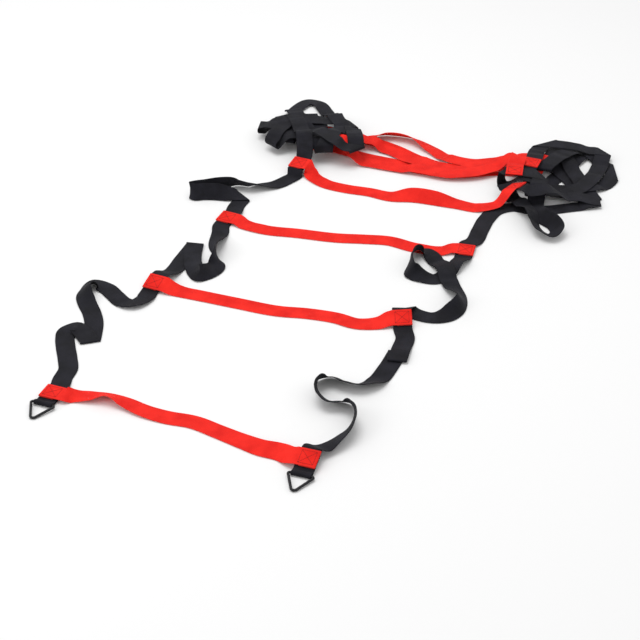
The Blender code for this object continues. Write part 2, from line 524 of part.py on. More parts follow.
def settle(ribbons, turned_over):
    """Raise each length of webbing just clear of what is laid beneath it; returns the rise of every row.

    A sewn place that is turned over has its stitching underneath and stands clear of the floor by as much.
    """
    place = np.array([row[0] for r in ribbons for row in r.rows])
    arm = np.array([row[1] for r in ribbons for row in r.rows])
    order = np.array([row[3] for r in ribbons for row in r.rows])
    group = np.array([row[4] for r in ribbons for row in r.rows])
    folded = np.array([row[5] for r in ribbons for row in r.rows])
    owner = np.concatenate([np.full(len(r.rows), k) for k, r in enumerate(ribbons)])
    step = np.linalg.norm(np.diff(place, axis=0), axis=1)
    along = np.concatenate([[0.0], np.cumsum(step)])
    beside = np.full(len(group), -1)
    for g in range(group.max() + 1):
        for k in range(len(ribbons)):
            mine = (group == g) & (owner == k)
            if mine.any():
                ends = along[mine].min() - BESIDE_LENGTH, along[mine].max() + BESIDE_LENGTH
                beside[(owner == k) & (along > ends[0]) & (along < ends[1])] = g
    lowest = place[:, 2] - np.abs(arm[:, 2]) - WEB_THICKNESS / 2
    lowest[np.isin(group, turned_over)] -= THREAD_CLEARANCE + THREAD_HEIGHT
    need = np.maximum(0.0, -lowest)
    low, share, spot = [], [], []
    across = np.linspace(-1, 1, ACROSS_STEPS + 1)
    for i in range(len(place) - 1):
        if owner[i] != owner[i + 1]:
            continue
        reach = max(np.linalg.norm(place[i + 1] + s * arm[i + 1] - place[i] - s * arm[i]) for s in (-1, 1))
        count = max(1, math.ceil(float(reach) / FINE_STEP))
        for k in range(count):
            u = (k + 0.5) / count
            middle = place[i] * (1 - u) + place[i + 1] * u
            half = arm[i] * (1 - u) + arm[i + 1] * u
            spot.append(middle + across[:, None] * half)
            low.append(np.full(len(across), i))
            share.append(np.full(len(across), u))
    spot, low, share = np.vstack(spot), np.concatenate(low), np.concatenate(share)
    cell = np.floor((spot[:, :2] - spot[:, :2].min(axis=0)) / SETTLE_CELL).astype(int)
    key = cell[:, 0] * (cell[:, 1].max() + 1) + cell[:, 1]
    rank = order[low] * (1 - share) + order[low + 1] * share
    sorted_by = np.lexsort((rank, key))
    spot, low, share, key, rank = (x[sorted_by] for x in (spot, low, share, key, rank))
    where = along[low] * (1 - share) + along[low + 1] * share
    under, above = [], []
    for k in range(1, len(key)):
        same = np.nonzero(key[k:] == key[:-k])[0]
        if not len(same):
            break
        a, b = same, same + k
        alike = (owner[low[a]] == owner[low[b]]) & (np.abs(where[a] - where[b]) < CLOSE_LENGTH)
        sewn = (beside[low[a]] >= 0) & (beside[low[a]] == beside[low[b]])
        kept = ~(alike | sewn)
        under.append(a[kept])
        above.append(b[kept])
    under, above = np.concatenate(under), np.concatenate(above)
    rise = need.copy()
    sewn_near = (beside[low[under]] >= 0) | (beside[low[above]] >= 0)
    apart = SETTLED_LAYER + np.where(sewn_near, THREAD_CLEARANCE + THREAD_HEIGHT, 0.0)
    for turn in range(SETTLE_TURNS):
        rise = smooth_rise(need, owner, along, group, folded)
        height = spot[:, 2] + rise[low] * (1 - share) + rise[low + 1] * share
        short = height[under] + apart - height[above]
        wrong = short > SETTLE_ERROR
        if not wrong.any():
            break
        hit, lack = above[wrong], short[wrong]
        wanted = height[hit] - spot[hit, 2] + lack
        np.maximum.at(need, low[hit], wanted)
        np.maximum.at(need, low[hit] + 1, wanted)
    print("settled after", turn + 1, "turns; highest rise", round(float(rise.max()) * 1000, 2), "mm")
    return rise


def smooth_rise(need, owner, along, group, folded):
    """The least rise that meets every need, climbs gently between folds and keeps each sewn place rigid."""
    begins = np.nonzero((np.diff(owner, prepend=-1) != 0) | (np.diff(folded.astype(int), prepend=0) != 0))[0]
    runs = [(int(a), int(b)) for a, b in zip(begins, list(begins[1:]) + [len(need)])]
    rise = need.copy()
    for a, b in runs:
        if folded[a]:
            half = (a + b) // 2
            rise[a - 1] = max(rise[a - 1], rise[a:half].max())
            rise[b] = max(rise[b], rise[half:b].max())
    sewn = group >= 0
    levels = np.full(group.max() + 1, 0.0)
    np.maximum.at(levels, group[sewn], rise[sewn])
    rise[sewn] = levels[group[sewn]]
    for a, b in runs:
        if folded[a]:
            continue
        s = along[a:b] * RISE_SHARE
        r = rise[a:b]
        ahead = np.maximum.accumulate(r + s) - s
        back = np.maximum.accumulate((r - s)[::-1])[::-1] + s
        r = np.maximum(ahead, back)
        for spread in ("max", "mean"):
            ends = np.pad(r, SMOOTH_STEPS, mode="edge")
            windows = np.lib.stride_tricks.sliding_window_view(ends, 2 * SMOOTH_STEPS + 1)
            r = windows.max(axis=1) if spread == "max" else windows.mean(axis=1)
        rise[a:b] = r
    np.maximum.at(levels, group[sewn], rise[sewn])
    rise[sewn] = levels[group[sewn]]
    for a, b in runs:
        if folded[a]:
            rise[a:b] = np.linspace(rise[a - 1], rise[b], b - a + 2)[1:-1]
    return rise


def ring_corners():
    """Where the ring's three wire lines would meet: half the bar line and the apex's distance from it."""
    half_bar, depth = HALF, RING_HEIGHT
    for _ in range(RING_TURNS):
        base_half_angle = math.atan2(depth, half_bar) / 2
        apex_half_angle = math.atan2(half_bar, depth)
        half_bar = HALF + RING_SIDE_CLEARANCE + RING_CORNER / math.tan(base_half_angle)
        depth = RING_HEIGHT + RING_APEX_CORNER / math.sin(apex_half_angle) - RING_APEX_CORNER
    return half_bar, depth


def ring_outline():
    """The ring's wire axis: a straight bar through the origin and an apex at a distance below it."""
    half_bar, depth = ring_corners()
    corners = [(-half_bar, 0.0, RING_CORNER), (half_bar, 0.0, RING_CORNER), (0.0, -depth, RING_APEX_CORNER)]
    path = []
    for k, (x, y, bend) in enumerate(corners):
        here = np.array([x, y])
        back = unit(np.array(corners[k - 1][:2]) - here)
        ahead = unit(np.array(corners[(k + 1) % 3][:2]) - here)
        half_angle = math.acos(float(np.clip(back @ ahead, -1, 1))) / 2
        reach = bend / math.tan(half_angle)
        centre = here + unit(back + ahead) * bend / math.sin(half_angle)
        start, end = here + back * reach - centre, here + ahead * reach - centre
        first = math.atan2(start[1], start[0])
        sweep = (math.atan2(end[1], end[0]) - first + math.pi) % (2 * math.pi) - math.pi
        for step in range(RING_CORNER_STEPS + 1):
            a = first + sweep * step / RING_CORNER_STEPS
            path.append(tuple(centre + bend * np.array([math.cos(a), math.sin(a)])))
    return path


def ring_frame(joint, rise):
    """Middle of the ring's bar, the bar's direction and that of the apex, which rests on the floor."""
    bar = ring_bar(joint) + np.array([0.0, 0.0, rise])
    droop = math.asin(min(1.0, max(0.0, (bar[2] - RING_WIRE / 2) / RING_HEIGHT)))
    away = unit(np.cross(joint.rung, [0.0, 0.0, 1.0]))
    return bar, joint.rung, away * math.cos(droop) - np.array([0.0, 0.0, math.sin(droop)])


def lay_ladder():
    """Lay and settle all webbing; returns it, the sewn places, their rises and the middle of the plan."""
    left = [Joint(row, k) for k, row in enumerate(LEFT_JOINT_SHARES)]
    right = [Joint(row, len(left) + k) for k, row in enumerate(RIGHT_JOINT_SHARES)]
    ribbons = [build_rail("rail_left", left, LEFT_ROUTE_SHARES)]
    ribbons.append(build_rail("rail_right", right, RIGHT_ROUTE_SHARES))
    for k, route in enumerate(RUNG_ROUTE_SHARES):
        ribbons.append(build_rung("rung_" + str(k + 1), left[k], right[k], route))
    rise = settle(ribbons, [joint.group for joint in left + right if joint.up[2] < 0])
    edges = []
    levels = {}
    begin = 0
    for ribbon in ribbons:
        ribbon.rise = rise[begin:begin + len(ribbon.rows)]
        begin += len(ribbon.rows)
        for row, lift in zip(ribbon.rows, ribbon.rise):
            edges += [row[0] - row[1], row[0] + row[1]]
            if row[4] >= 0:
                levels[row[4]] = float(lift)
    for joint in (left[0], right[0]):
        bar, across, reach = ring_frame(joint, levels[joint.group])
        for x, y in ring_outline():
            point = bar + across * x - reach * y
            edges += [point - RING_WIRE / 2, point + RING_WIRE / 2]
    middle = (np.min(edges, axis=0) + np.max(edges, axis=0)) / 2
    return ribbons, left, right, levels, np.array([middle[0], middle[1], 0.0])


def thin_rows(rows, rise, shift):
    """Keep only the cross-sections that the shape needs; returns rows of four corners."""
    corners = []
    for (place, arm, normal, *_), lift in zip(rows, rise):
        middle = place + np.array([0.0, 0.0, lift]) - shift
        below, above = middle - normal * WEB_THICKNESS / 2, middle + normal * WEB_THICKNESS / 2
        corners.append([below - arm, below + arm, above + arm, above - arm])
    corners = np.array(corners)
    middles = corners.mean(axis=1)
    arms = np.array([unit(row[1]) for row in rows])
    normals = np.array([row[2] for row in rows])
    places = [row[4] for row in rows]
    kept = [0]
    while kept[-1] < len(rows) - 1:
        a = kept[-1]
        best = a + 1
        for b in range(a + 2, len(rows)):
            if np.linalg.norm(middles[b] - middles[a]) > LONGEST_ROW:
                break
            if places[b] != places[b - 1] and places[b - 1] != places[a]:
                break
            if places[a + 1] != places[a]:
                break
            if min(float(arms[a] @ arms[b]), float(normals[a] @ normals[b])) < math.cos(TURN_PER_ROW):
                break
            steps = np.linalg.norm(np.diff(middles[a:b + 1], axis=0), axis=1)
            span = (np.cumsum(steps)[:-1] / steps.sum())[:, None, None]
            straight_line = corners[a] * (1 - span) + corners[b] * span
            if np.linalg.norm(corners[a + 1:b] - straight_line, axis=2).max() > SHAPE_ERROR:
                break
            best = b
        kept.append(best)
    return corners[kept]


def self_gap(corners):
    """Least distance in metres between parts of one ribbon that are not next to each other along it."""
    middles = corners.mean(axis=1)
    along = np.concatenate([[0.0], np.cumsum(np.linalg.norm(np.diff(middles, axis=0), axis=1))])
    grid = []
    for a, b in ((0, 1), (3, 2)):
        grid += [(1 - u) * corners[:, a] + u * corners[:, b] for u in np.linspace(0, 1, GAP_STEPS + 1)]
    grid = np.array(grid).transpose(1, 0, 2)
    quads = []
    points = [tuple(c) for row in corners for c in row]
    least = LADDER_WIDTH
    reach = WEB_WIDTH / 3
    for i in range(len(corners) - 1):
        quads += [(4 * i + a, 4 * i + (a + 1) % 4, 4 * i + 4 + (a + 1) % 4, 4 * i + 4 + a) for a in range(4)]
    for start in range(0, len(corners), 4):
        stop = min(start + 4, len(corners) - 1)
        near = [k for k in range(len(corners) - 1)
                if along[k] > along[stop] + CLOSE_LENGTH or along[k + 1] < along[start] - CLOSE_LENGTH]
        box_low = corners[start:stop + 1].min(axis=(0, 1)) - reach
        box_high = corners[start:stop + 1].max(axis=(0, 1)) + reach
        near = [k for k in near if (corners[k:k + 2].max(axis=(0, 1)) > box_low).all()
                and (corners[k:k + 2].min(axis=(0, 1)) < box_high).all()]
        if not near:
            continue
        tree = BVHTree.FromPolygons(points, [q for k in near for q in quads[4 * k:4 * k + 4]])
        for row in grid[start:stop + 1]:
            for point in row:
                hit = tree.find_nearest(Vector(point))
                if hit[0] is not None:
                    least = min(least, hit[3])
    return least


# Blender objects


def fresh_collection(name):
    """A new collection in the scene."""
    made = bpy.data.collections.new(name)
    bpy.context.scene.collection.children.link(made)
    return made


def surface(name, colour, rough, shine):
    """A plain surface in one colour."""
    made = bpy.data.materials.new(name)
    made.use_nodes = True
    shader = made.node_tree.nodes["Principled BSDF"]
    shader.inputs["Base Color"].default_value = (*colour, 1.0)
    shader.inputs["Roughness"].default_value = rough
    shader.inputs["Specular IOR Level"].default_value = shine
    made.diffuse_color = (*colour, 1.0)
    return made


def web_object(name, corners, material, collection):
    """A closed strip through rows of four corners."""
    points = [tuple(c) for row in corners for c in row]
    faces = [(3, 2, 1, 0)]
    for i in range(len(corners) - 1):
        for a in range(4):
            b = (a + 1) % 4
            faces.append((4 * i + a, 4 * i + b, 4 * i + 4 + b, 4 * i + 4 + a))
    last = 4 * (len(corners) - 1)
    faces.append((last, last + 1, last + 2, last + 3))
    mesh = bpy.data.meshes.new(name)
    mesh.from_pydata(points, [], faces)
    work = bmesh.new()
    work.from_mesh(mesh)
    bmesh.ops.triangulate(work, faces=work.faces)
    bmesh.ops.recalc_face_normals(work, faces=work.faces)
    work.to_mesh(mesh)
    work.free()
    mesh.materials.append(material)
    made = bpy.data.objects.new(name, mesh)
    collection.objects.link(made)
    return made


def add_loop(curve, outline):
    """Add a closed line through flat points to a curve."""
    spline = curve.splines.new("POLY")
    spline.points.add(len(outline) - 1)
    for point, (x, y) in zip(spline.points, outline):
        point.co = (x, y, 0.0, 1.0)
    spline.use_cyclic_u = True


def placed(made, frame_x, frame_y, frame_z, origin, shift):
    """Turn and move an object so that its axes follow a frame."""
    turn = Matrix((frame_x, frame_y, frame_z)).transposed().to_4x4()
    made.matrix_world = Matrix.Translation(Vector(origin - shift)) @ turn


def ring_object(name, joint, material, collection, shift, rise):
    """A closed ring of wire that hangs on its straight bar."""
    curve = bpy.data.curves.new(name, "CURVE")
    curve.dimensions = "3D"
    curve.bevel_depth = RING_WIRE / 2
    curve.bevel_resolution = 2
    curve.use_fill_caps = True
    add_loop(curve, ring_outline())
    curve.materials.append(material)
    made = bpy.data.objects.new(name, curve)
    collection.objects.link(made)
    bar, across, reach = ring_frame(joint, rise)
    placed(made, across, -reach, np.cross(across, -reach), bar, shift)
    return made, bar - shift, across


def stitch_object(name, joint, material, collection, shift, rise):
    """A sewn box with a cross in it, lying on the rung's end."""
    half = HALF - STITCH_MARGIN
    inner = half - THREAD_WIDTH
    gap = THREAD_WIDTH * math.sqrt(2) / 2
    curve = bpy.data.curves.new(name, "CURVE")
    curve.dimensions = "2D"
    curve.fill_mode = "BOTH"
    curve.extrude = THREAD_HEIGHT / 2
    add_loop(curve, [(-half, -half), (half, -half), (half, half), (-half, half)])
    for quarter in range(4):
        c, s = round(math.cos(quarter * math.pi / 2)), round(math.sin(quarter * math.pi / 2))
        hole = [(gap, 0.0), (inner, inner - gap), (inner, gap - inner)]
        add_loop(curve, [(c * x - s * y, s * x + c * y) for x, y in hole])
    curve.materials.append(material)
    made = bpy.data.objects.new(name, curve)
    collection.objects.link(made)
    level = WEB_THICKNESS / 2 + THREAD_CLEARANCE + THREAD_HEIGHT / 2
    centre = joint.at(0, 0, RUNG_LAYER) + joint.up * level + np.array([0.0, 0.0, rise])
    placed(made, joint.rung, joint.rail, joint.up, centre, shift)
    return made


def build():
    """Clear the scene and make the ladder's pieces."""
    for old in list(bpy.data.objects):
        bpy.data.objects.remove(old)
    ladder = fresh_collection("agility_ladder")
    black = surface("black_webbing", *BLACK_WEBBING)
    red = surface("red_webbing", *RED_WEBBING)
    thread = surface("red_thread", *RED_THREAD)
    metal = surface("black_painted_wire", *BLACK_WIRE)
    ribbons, left, right, levels, shift = lay_ladder()
    for ribbon in ribbons:
        corners = thin_rows(ribbon.rows, ribbon.rise, shift)
        material = black if ribbon.name.startswith("rail") else red
        web_object(ribbon.name, corners, material, ladder)
        steps = np.linalg.norm(np.diff(corners.mean(axis=1), axis=0), axis=1)
        length, gap = round(float(steps.sum()), 4), round(self_gap(corners) * 1000, 3)
        print(ribbon.name, "rows", len(corners), "length", length, "m; least gap to itself", gap, "mm")
    for side, joints in (("left", left), ("right", right)):
        level = levels[joints[0].group]
        _, bar, axis = ring_object("ring_" + side, joints[0], metal, ladder, shift, level)
        print("ring_" + side, "axis at", np.round(bar, 6).tolist(), "along", np.round(axis, 6).tolist())
        for k, joint in enumerate(joints):
            name = "stitch_" + str(k + 1) + "_" + side
            stitch_object(name, joint, thread, ladder, shift, levels[joint.group])


build()
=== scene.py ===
import math

import bmesh
import bpy
import numpy as np
from mathutils import Matrix, Vector


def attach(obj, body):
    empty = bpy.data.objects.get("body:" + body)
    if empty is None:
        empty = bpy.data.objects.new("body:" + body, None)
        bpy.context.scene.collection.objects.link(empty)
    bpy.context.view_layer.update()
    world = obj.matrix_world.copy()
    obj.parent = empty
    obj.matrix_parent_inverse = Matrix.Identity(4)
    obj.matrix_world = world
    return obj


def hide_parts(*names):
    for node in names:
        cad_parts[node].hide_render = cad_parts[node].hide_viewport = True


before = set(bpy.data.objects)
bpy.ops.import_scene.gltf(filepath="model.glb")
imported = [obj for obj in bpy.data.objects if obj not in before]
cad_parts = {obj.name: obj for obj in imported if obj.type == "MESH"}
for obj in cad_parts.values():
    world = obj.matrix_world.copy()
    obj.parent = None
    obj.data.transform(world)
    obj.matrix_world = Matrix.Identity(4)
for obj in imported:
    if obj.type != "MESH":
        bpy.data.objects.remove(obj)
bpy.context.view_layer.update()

# Camera.
# The ladder is seen from a little above the head of someone kneeling at its near end and slightly to its
# right, through a long lens that takes in the whole of it.
VIEW_DOWN = math.radians(34)
VIEW_TURN = math.radians(12)
VIEW_DISTANCE = 2.4725
LENS_PIXELS = 1573
PICTURE_PIXELS = 640
SENSOR = 36.0
FARTHEST_SEEN = 50

camera_data = bpy.data.cameras.new("view")
camera_data.sensor_width = SENSOR
camera_data.lens = LENS_PIXELS / PICTURE_PIXELS * SENSOR
camera_data.clip_end = FARTHEST_SEEN
camera = bpy.data.objects.new("view", camera_data)
bpy.context.scene.collection.objects.link(camera)
bpy.context.scene.camera = camera


def aim_camera(target):
    """Stand the camera back from a point of the floor at the photograph's angle."""
    level = VIEW_DISTANCE * math.cos(VIEW_DOWN)
    height = VIEW_DISTANCE * math.sin(VIEW_DOWN)
    back = Vector((math.sin(VIEW_TURN) * level, -math.cos(VIEW_TURN) * level, height))
    camera.location = Vector(target) + back
    camera.rotation_euler = (-back).to_track_quat("-Z", "Y").to_euler()


# Rails.
# Two lengths of black woven webbing, each folded back round its ring and run through the sewn places.
# Sizes and routes are those of the solid model.

# Sizes of the ladder
LADDER_WIDTH = 0.460        # outer edge of one rail to outer edge of the other, along a straight rung
PLAN_DEPTH = 0.460          # the laid-out plan's scale along the rails
WEB_WIDTH = 0.030           # rails and rungs are cut from webbing of one width
WEB_THICKNESS = 0.0012
LAYER_GAP = 0.0005          # clear space between webbing that lies on webbing
HEM_LENGTH = 0.024          # the rung's end that is turned under

# Sizes of the rings
RING_WIRE = 0.004
RING_SIDE_CLEARANCE = 0.0006    # webbing's edge to the end of the bar's straight length, each side
RING_HEIGHT = 0.033             # bar axis to apex axis
RING_CORNER = 0.0026            # bend radius of the wire's axis at each end of the bar
RING_APEX_CORNER = 0.0045
RING_BAR_CLEARANCE = 0.0004     # between the wire and the webbing folded round it
RING_REACH = 0.013              # near edge of the first rung to the ring's bar axis

# Sizes of the stitching
THREAD_WIDTH = 0.0011
THREAD_HEIGHT = 0.0004
THREAD_CLEARANCE = 0.0003
STITCH_MARGIN = 0.0035          # webbing edge to the sewn box

# How finely the webbing is divided along its length
FINE_STEP = 0.0026          # from row to row before the rows that the shape does not need are left out
SHORTEST_STEP = 0.0003      # stations nearer than this count as this far apart
FOLD_STEPS = 4
RING_CORNER_STEPS = 4
RING_TURNS = 30             # rounds in which the ring's corners find their place

# How the webbing settles on itself
SEWN_SPARE = 0.004          # rail held flat beyond the rung's edge
SETTLED_LAYER = 0.0022      # from one layer to the next where webbing lies loose on webbing
SETTLE_CELL = 0.003         # size of a cell of the plan in which heights are compared
SETTLE_ERROR = 0.00003      # a height this little short is left
BESIDE_LENGTH = 0.020       # webbing this near a sewn place is not compared with what is sewn there
CLOSE_LENGTH = 0.045        # webbing nearer along itself than this is not compared with itself
SETTLE_TURNS = 160
SMOOTH_STEPS = 2            # rows on each side that a rise is spread over
ACROSS_STEPS = 12           # places compared across the webbing
RISE_SHARE = 0.9            # steepest climb of loose webbing over what it lies on
FOLD_SQUARE_SHARE = 0.05    # below this two directions count as opposite
FOLD_ORDER_SHARE = 0.05     # how much later or earlier webbing counts after a fold
RUNG_ORDER_SHARE = 0.1      # how much later a rung counts than the rail that it is sewn to
RUNG_UNDER_SHARE = 0.5      # how much earlier it counts where the sewn place is turned over

# Layers of a sewn place, counted from the rail that the rung lies on
TAIL_LAYER = -1             # the rail's end that comes back from the ring
HEM_LAYER = 1               # the rung's end that is turned under
RUNG_LAYER = 2

LAYER = WEB_THICKNESS + LAYER_GAP
HALF = WEB_WIDTH / 2
SEWN_REACH = HALF + SEWN_SPARE
LOOP_RADIUS = RING_WIRE / 2 + RING_BAR_CLEARANCE + WEB_THICKNESS / 2
LOOP_TURN = math.radians(205)   # how far the rail bends round the bar before it runs down to the sewn place

# Sewn places, one row for each rung's end: across and along the plan as shares of its scales, turn, climb
# (far side raised) and lean (right side raised) in degrees, and whether the rail runs through it backwards
LEFT_JOINT_SHARES = [
    (-0.745, -0.596, -9, 0, 0, False),
    (-0.612, 0.085, -13, 18, 0, False),
    (-0.482, 0.590, -14, 5, 0, False),
    (-0.300, 1.016, -13, 8, 0, False),
    (-0.205, 1.180, -8, 180, 0, False),
    (-0.190, 1.260, -8, 180, 0, False),
    (-0.192, 1.300, 0, 180, 0, False),
    (-0.330, 1.340, -6, 180, 0, False),
    (-0.310, 1.240, -6, 180, 0, False),
]
RIGHT_JOINT_SHARES = [
    (0.126, -0.768, -7, 16, 0, False),
    (0.277, 0.040, 12, 20, 4, False),
    (0.426, 0.545, -2, 3, 0, False),
    (0.560, 0.968, 62, -25, 0, False),
    (0.545, 1.072, -88, 0, 0, True),
    (0.600, 1.175, -10, 0, 0, True),
    (0.655, 1.245, -20, 0, 0, False),
    (0.620, 1.200, -10, 0, 0, True),
    (0.600, 1.170, -8, 0, 0, True),
]

# The rails between sewn places: across and along as shares of the plan's scales, how much later than its turn
# this place is laid when the webbing goes layer on layer, the bearing of the webbing's width and its tilt in
# degrees; a row that ends in a word is a fold, after which the webbing goes over or under itself
LEFT_ROUTE_SHARES = [
    [
        (-0.744, -0.505, 0, 0, 0), (-0.744, -0.455, 0, 5, 0), (-0.765, -0.400, 0, 20, 0),
        (-0.795, -0.335, 0, 22, 0), (-0.815, -0.285, 1, 10, 0), (-0.822, -0.250, 2, -8, 0),
        (-0.800, -0.224, 3, -75, 8), (-0.770, -0.245, 3, -130, 0), (-0.722, -0.296, 2, "under"),
        (-0.735, -0.230, 0, -168, 0), (-0.747, -0.185, 0, -160, 0), (-0.775, -0.125, 0, -155, 0),
        (-0.815, -0.065, 0, -158, -8), (-0.835, -0.030, 0, -180, -25), (-0.838, 0.012, 0, -225, -38),
        (-0.812, 0.048, 0, -275, -10), (-0.775, 0.035, 0, -305, 0), (-0.735, 0.000, 0, -310, 0),
        (-0.690, -0.038, 0, -305, 0), (-0.655, -0.045, 0, -260, -12), (-0.624, 0.000, 0, -200, -5),
    ],
    [
        (-0.578, 0.195, 0, 0, 0), (-0.566, 0.290, 0, 0, 0), (-0.553, 0.392, 1, "over"),
        (-0.536, 0.300, 3, 12, 0), (-0.515, 0.235, 3, 25, 10),
        (-0.474, 0.170, 3, 80, 35), (-0.432, 0.240, 1, 150, 20), (-0.450, 0.310, 0, 190, 90),
        (-0.475, 0.405, 0, 185, 155), (-0.483, 0.490, 0, 180, 180),
    ],
    [
        (-0.474, 0.690, 0, 0, 0), (-0.461, 0.765, 1, "over"),
        (-0.518, 0.752, 3, -95, -22), (-0.565, 0.738, 3, -92, -58), (-0.612, 0.728, 3, -82, -62),
        (-0.650, 0.716, 3, -78, -64), (-0.664, 0.723, 2, -78, -68), (-0.652, 0.736, 1, -80, -68),
        (-0.612, 0.757, 0, -80, -74), (-0.560, 0.798, 0, 100, -78), (-0.505, 0.832, 0, -90, 50),
        (-0.455, 0.830, 0, -85, 42), (-0.415, 0.855, 0, -68, 20), (-0.362, 0.890, 0, -42, 0),
        (-0.330, 0.935, 0, -22, 0),
    ],
    [
        (-0.297, 1.105, 0, 3, 0), (-0.325, 1.195, 0, 20, 0), (-0.360, 1.280, 0, 16, 0),
        (-0.393, 1.345, 0, "under"), (-0.423, 1.252, 0, 196, 0), (-0.449, 1.148, 0, "under"),
        (-0.362, 1.202, 0, 76, 0), (-0.285, 1.213, 0, 98, 0), (-0.222, 1.172, 0, 58, 0),
        (-0.165, 1.122, 0, 66, 0), (-0.086, 1.110, 0, "under"), (-0.138, 1.285, 0, "under"),
    ],
    [
        (-0.215, 1.100, 0, "under"), (-0.300, 1.235, 0, 36, 0), (-0.396, 1.385, 0, 28, 0),
        (-0.433, 1.478, 0, 9, 3), (-0.423, 1.565, 0, -21, 6), (-0.390, 1.620, 0, -62, 8),
        (-0.351, 1.612, 0, -125, 8), (-0.308, 1.555, 0, -145, 5), (-0.268, 1.485, 0, -150, 0),
        (-0.228, 1.398, 0, -159, 0),
    ],
    [
        (-0.198, 1.200, 0, "under"), (-0.330, 1.235, 0, 80, 0), (-0.530, 1.285, 0, "under"),
        (-0.400, 1.335, 0, 105, 0), (-0.260, 1.370, 0, 100, 0), (-0.155, 1.412, 0, "under"),
    ],
    [
        (-0.194, 1.250, 0, "under"), (-0.330, 1.345, 0, 60, 0), (-0.470, 1.440, 0, "under"),
        (-0.430, 1.350, 0, 195, 0), (-0.400, 1.215, 0, "under"), (-0.370, 1.330, 0, 15, 0),
        (-0.330, 1.465, 0, "under"),
    ],
    [
        (-0.335, 1.275, 0, "under"), (-0.350, 1.390, 0, 10, 0), (-0.365, 1.510, 0, "under"),
        (-0.310, 1.380, 0, 200, 0), (-0.265, 1.240, 0, "under"), (-0.285, 1.330, 0, 15, 0),
        (-0.305, 1.430, 0, "under"),
    ],
]
RIGHT_ROUTE_SHARES = [
    [
        (0.165, -0.690, 0, -45, 15), (0.198, -0.645, 0, -60, 30), (0.219, -0.600, 0, -78, 34),
        (0.225, -0.555, 0, -78, 34), (0.215, -0.505, 0, -78, 34), (0.192, -0.473, 0, -78, 34),
        (0.165, -0.466, 0, -78, 34), (0.125, -0.473, 0, -78, 34), (0.092, -0.447, 0, -78, 34),
        (0.076, -0.405, 0, -78, 34), (0.080, -0.368, 0, -78, 34), (0.107, -0.345, 0, -78, 34),
        (0.155, -0.358, 0, -78, 34), (0.205, -0.362, 0, -78, 34), (0.240, -0.335, 0, -65, 25),
        (0.262, -0.290, 0, -15, 0), (0.277, -0.225, 0, -8, 0), (0.292, -0.135, 1, "over"),
        (0.296, -0.165, 2, -32, 0), (0.300, -0.195, 3, "over"), (0.302, -0.110, 4, -5, 0),
        (0.303, -0.050, 4, 3, 0),
    ],
    [
        (0.274, 0.125, -0.5, "under"), (0.325, 0.098, -1, 75, 0), (0.370, 0.090, -1, 90, 0),
        (0.415, 0.103, 0, 120, 15), (0.448, 0.135, 0, 160, 40), (0.462, 0.175, 0, 175, 55),
        (0.448, 0.228, 0, 200, 35), (0.418, 0.285, 0, 215, 10), (0.392, 0.340, 3, 220, 0),
        (0.372, 0.395, 4, 222, 0), (0.330, 0.455, 4, 222, 0), (0.300, 0.490, 4, 235, 5),
        (0.268, 0.490, 4, 270, 35), (0.246, 0.405, 0, 340, 75), (0.260, 0.335, 0, 390, 50),
        (0.295, 0.335, 0, 440, 15), (0.345, 0.335, 0, 460, 0), (0.385, 0.385, 0, 490, 0),
        (0.408, 0.450, 0, 515, -20),
    ],
    [
        (0.447, 0.620, 0, -12, 0), (0.460, 0.705, 0, -10, 0), (0.474, 0.795, -2, -15, 0),
        (0.503, 0.868, -2, -45, 0), (0.560, 0.905, -2, -85, 0), (0.630, 0.897, -2, -92, 0),
        (0.700, 0.914, -2, -75, 0), (0.775, 0.948, -2, -70, 0), (0.885, 0.995, 0, "over"),
        (0.780, 0.999, 0, -91, 0), (0.672, 0.956, 0, -104, 0),
    ],
    [
        (0.515, 1.006, 0, "under"), (0.588, 0.915, 0, 215, 0), (0.632, 0.835, 0, 210, 30),
        (0.656, 0.765, 0, 200, 45), (0.690, 0.712, 0, 235, 35), (0.722, 0.702, 0, 290, 20),
        (0.742, 0.738, 0, 350, 35), (0.720, 0.785, 0, 420, 50), (0.680, 0.825, 0, 425, 40),
        (0.650, 0.895, 0, 375, 12), (0.645, 0.990, 0, 362, 0), (0.655, 1.062, 0, "under"),
        (0.607, 1.072, 0, 450, 0),
    ],
    [
        (0.494, 1.076, 0, "under"), (0.590, 1.050, 0, 255, 0), (0.690, 1.030, 0, 268, 0),
        (0.780, 1.055, 0, 305, 0), (0.830, 1.140, 0, 332, 0), (0.860, 1.260, 0, 350, 0),
        (0.875, 1.395, 0, "under"), (0.770, 1.385, 0, 98, 0), (0.635, 1.375, 0, "under"),
        (0.610, 1.280, 0, 165, 0),
    ],
    [
        (0.592, 1.085, 0, "under"), (0.690, 1.075, 0, 88, 0), (0.800, 1.090, 0, 110, 0),
        (0.885, 1.140, 0, 145, 0), (0.928, 1.262, 0, "under"), (0.865, 1.330, 0, 45, 0),
        (0.790, 1.415, 0, "under"), (0.720, 1.310, 0, 140, 0), (0.650, 1.165, 0, "under"),
    ],
    [
        (0.685, 1.390, 0, "under"), (0.760, 1.230, 0, 205, 0), (0.862, 1.015, 0, "under"),
        (0.760, 1.150, 0, 40, 0), (0.640, 1.320, 0, "under"), (0.626, 1.270, 0, 180, 0),
    ],
    [
        (0.628, 1.000, 0, "under"), (0.710, 1.190, 0, -25, 0), (0.800, 1.400, 0, "under"),
        (0.710, 1.360, 0, 110, 0), (0.625, 1.330, 0, "under"), (0.608, 1.260, 0, 180, 0),
    ],
]


def unit(v):
    """The vector at length one."""
    return v / np.linalg.norm(v)


def bearing(degrees, tilt=0.0):
    """Direction with a bearing from +X and a tilt above the horizontal."""
    a, b = math.radians(degrees), math.radians(tilt)
    return np.array([math.cos(b) * math.cos(a), math.cos(b) * math.sin(a), math.sin(b)])


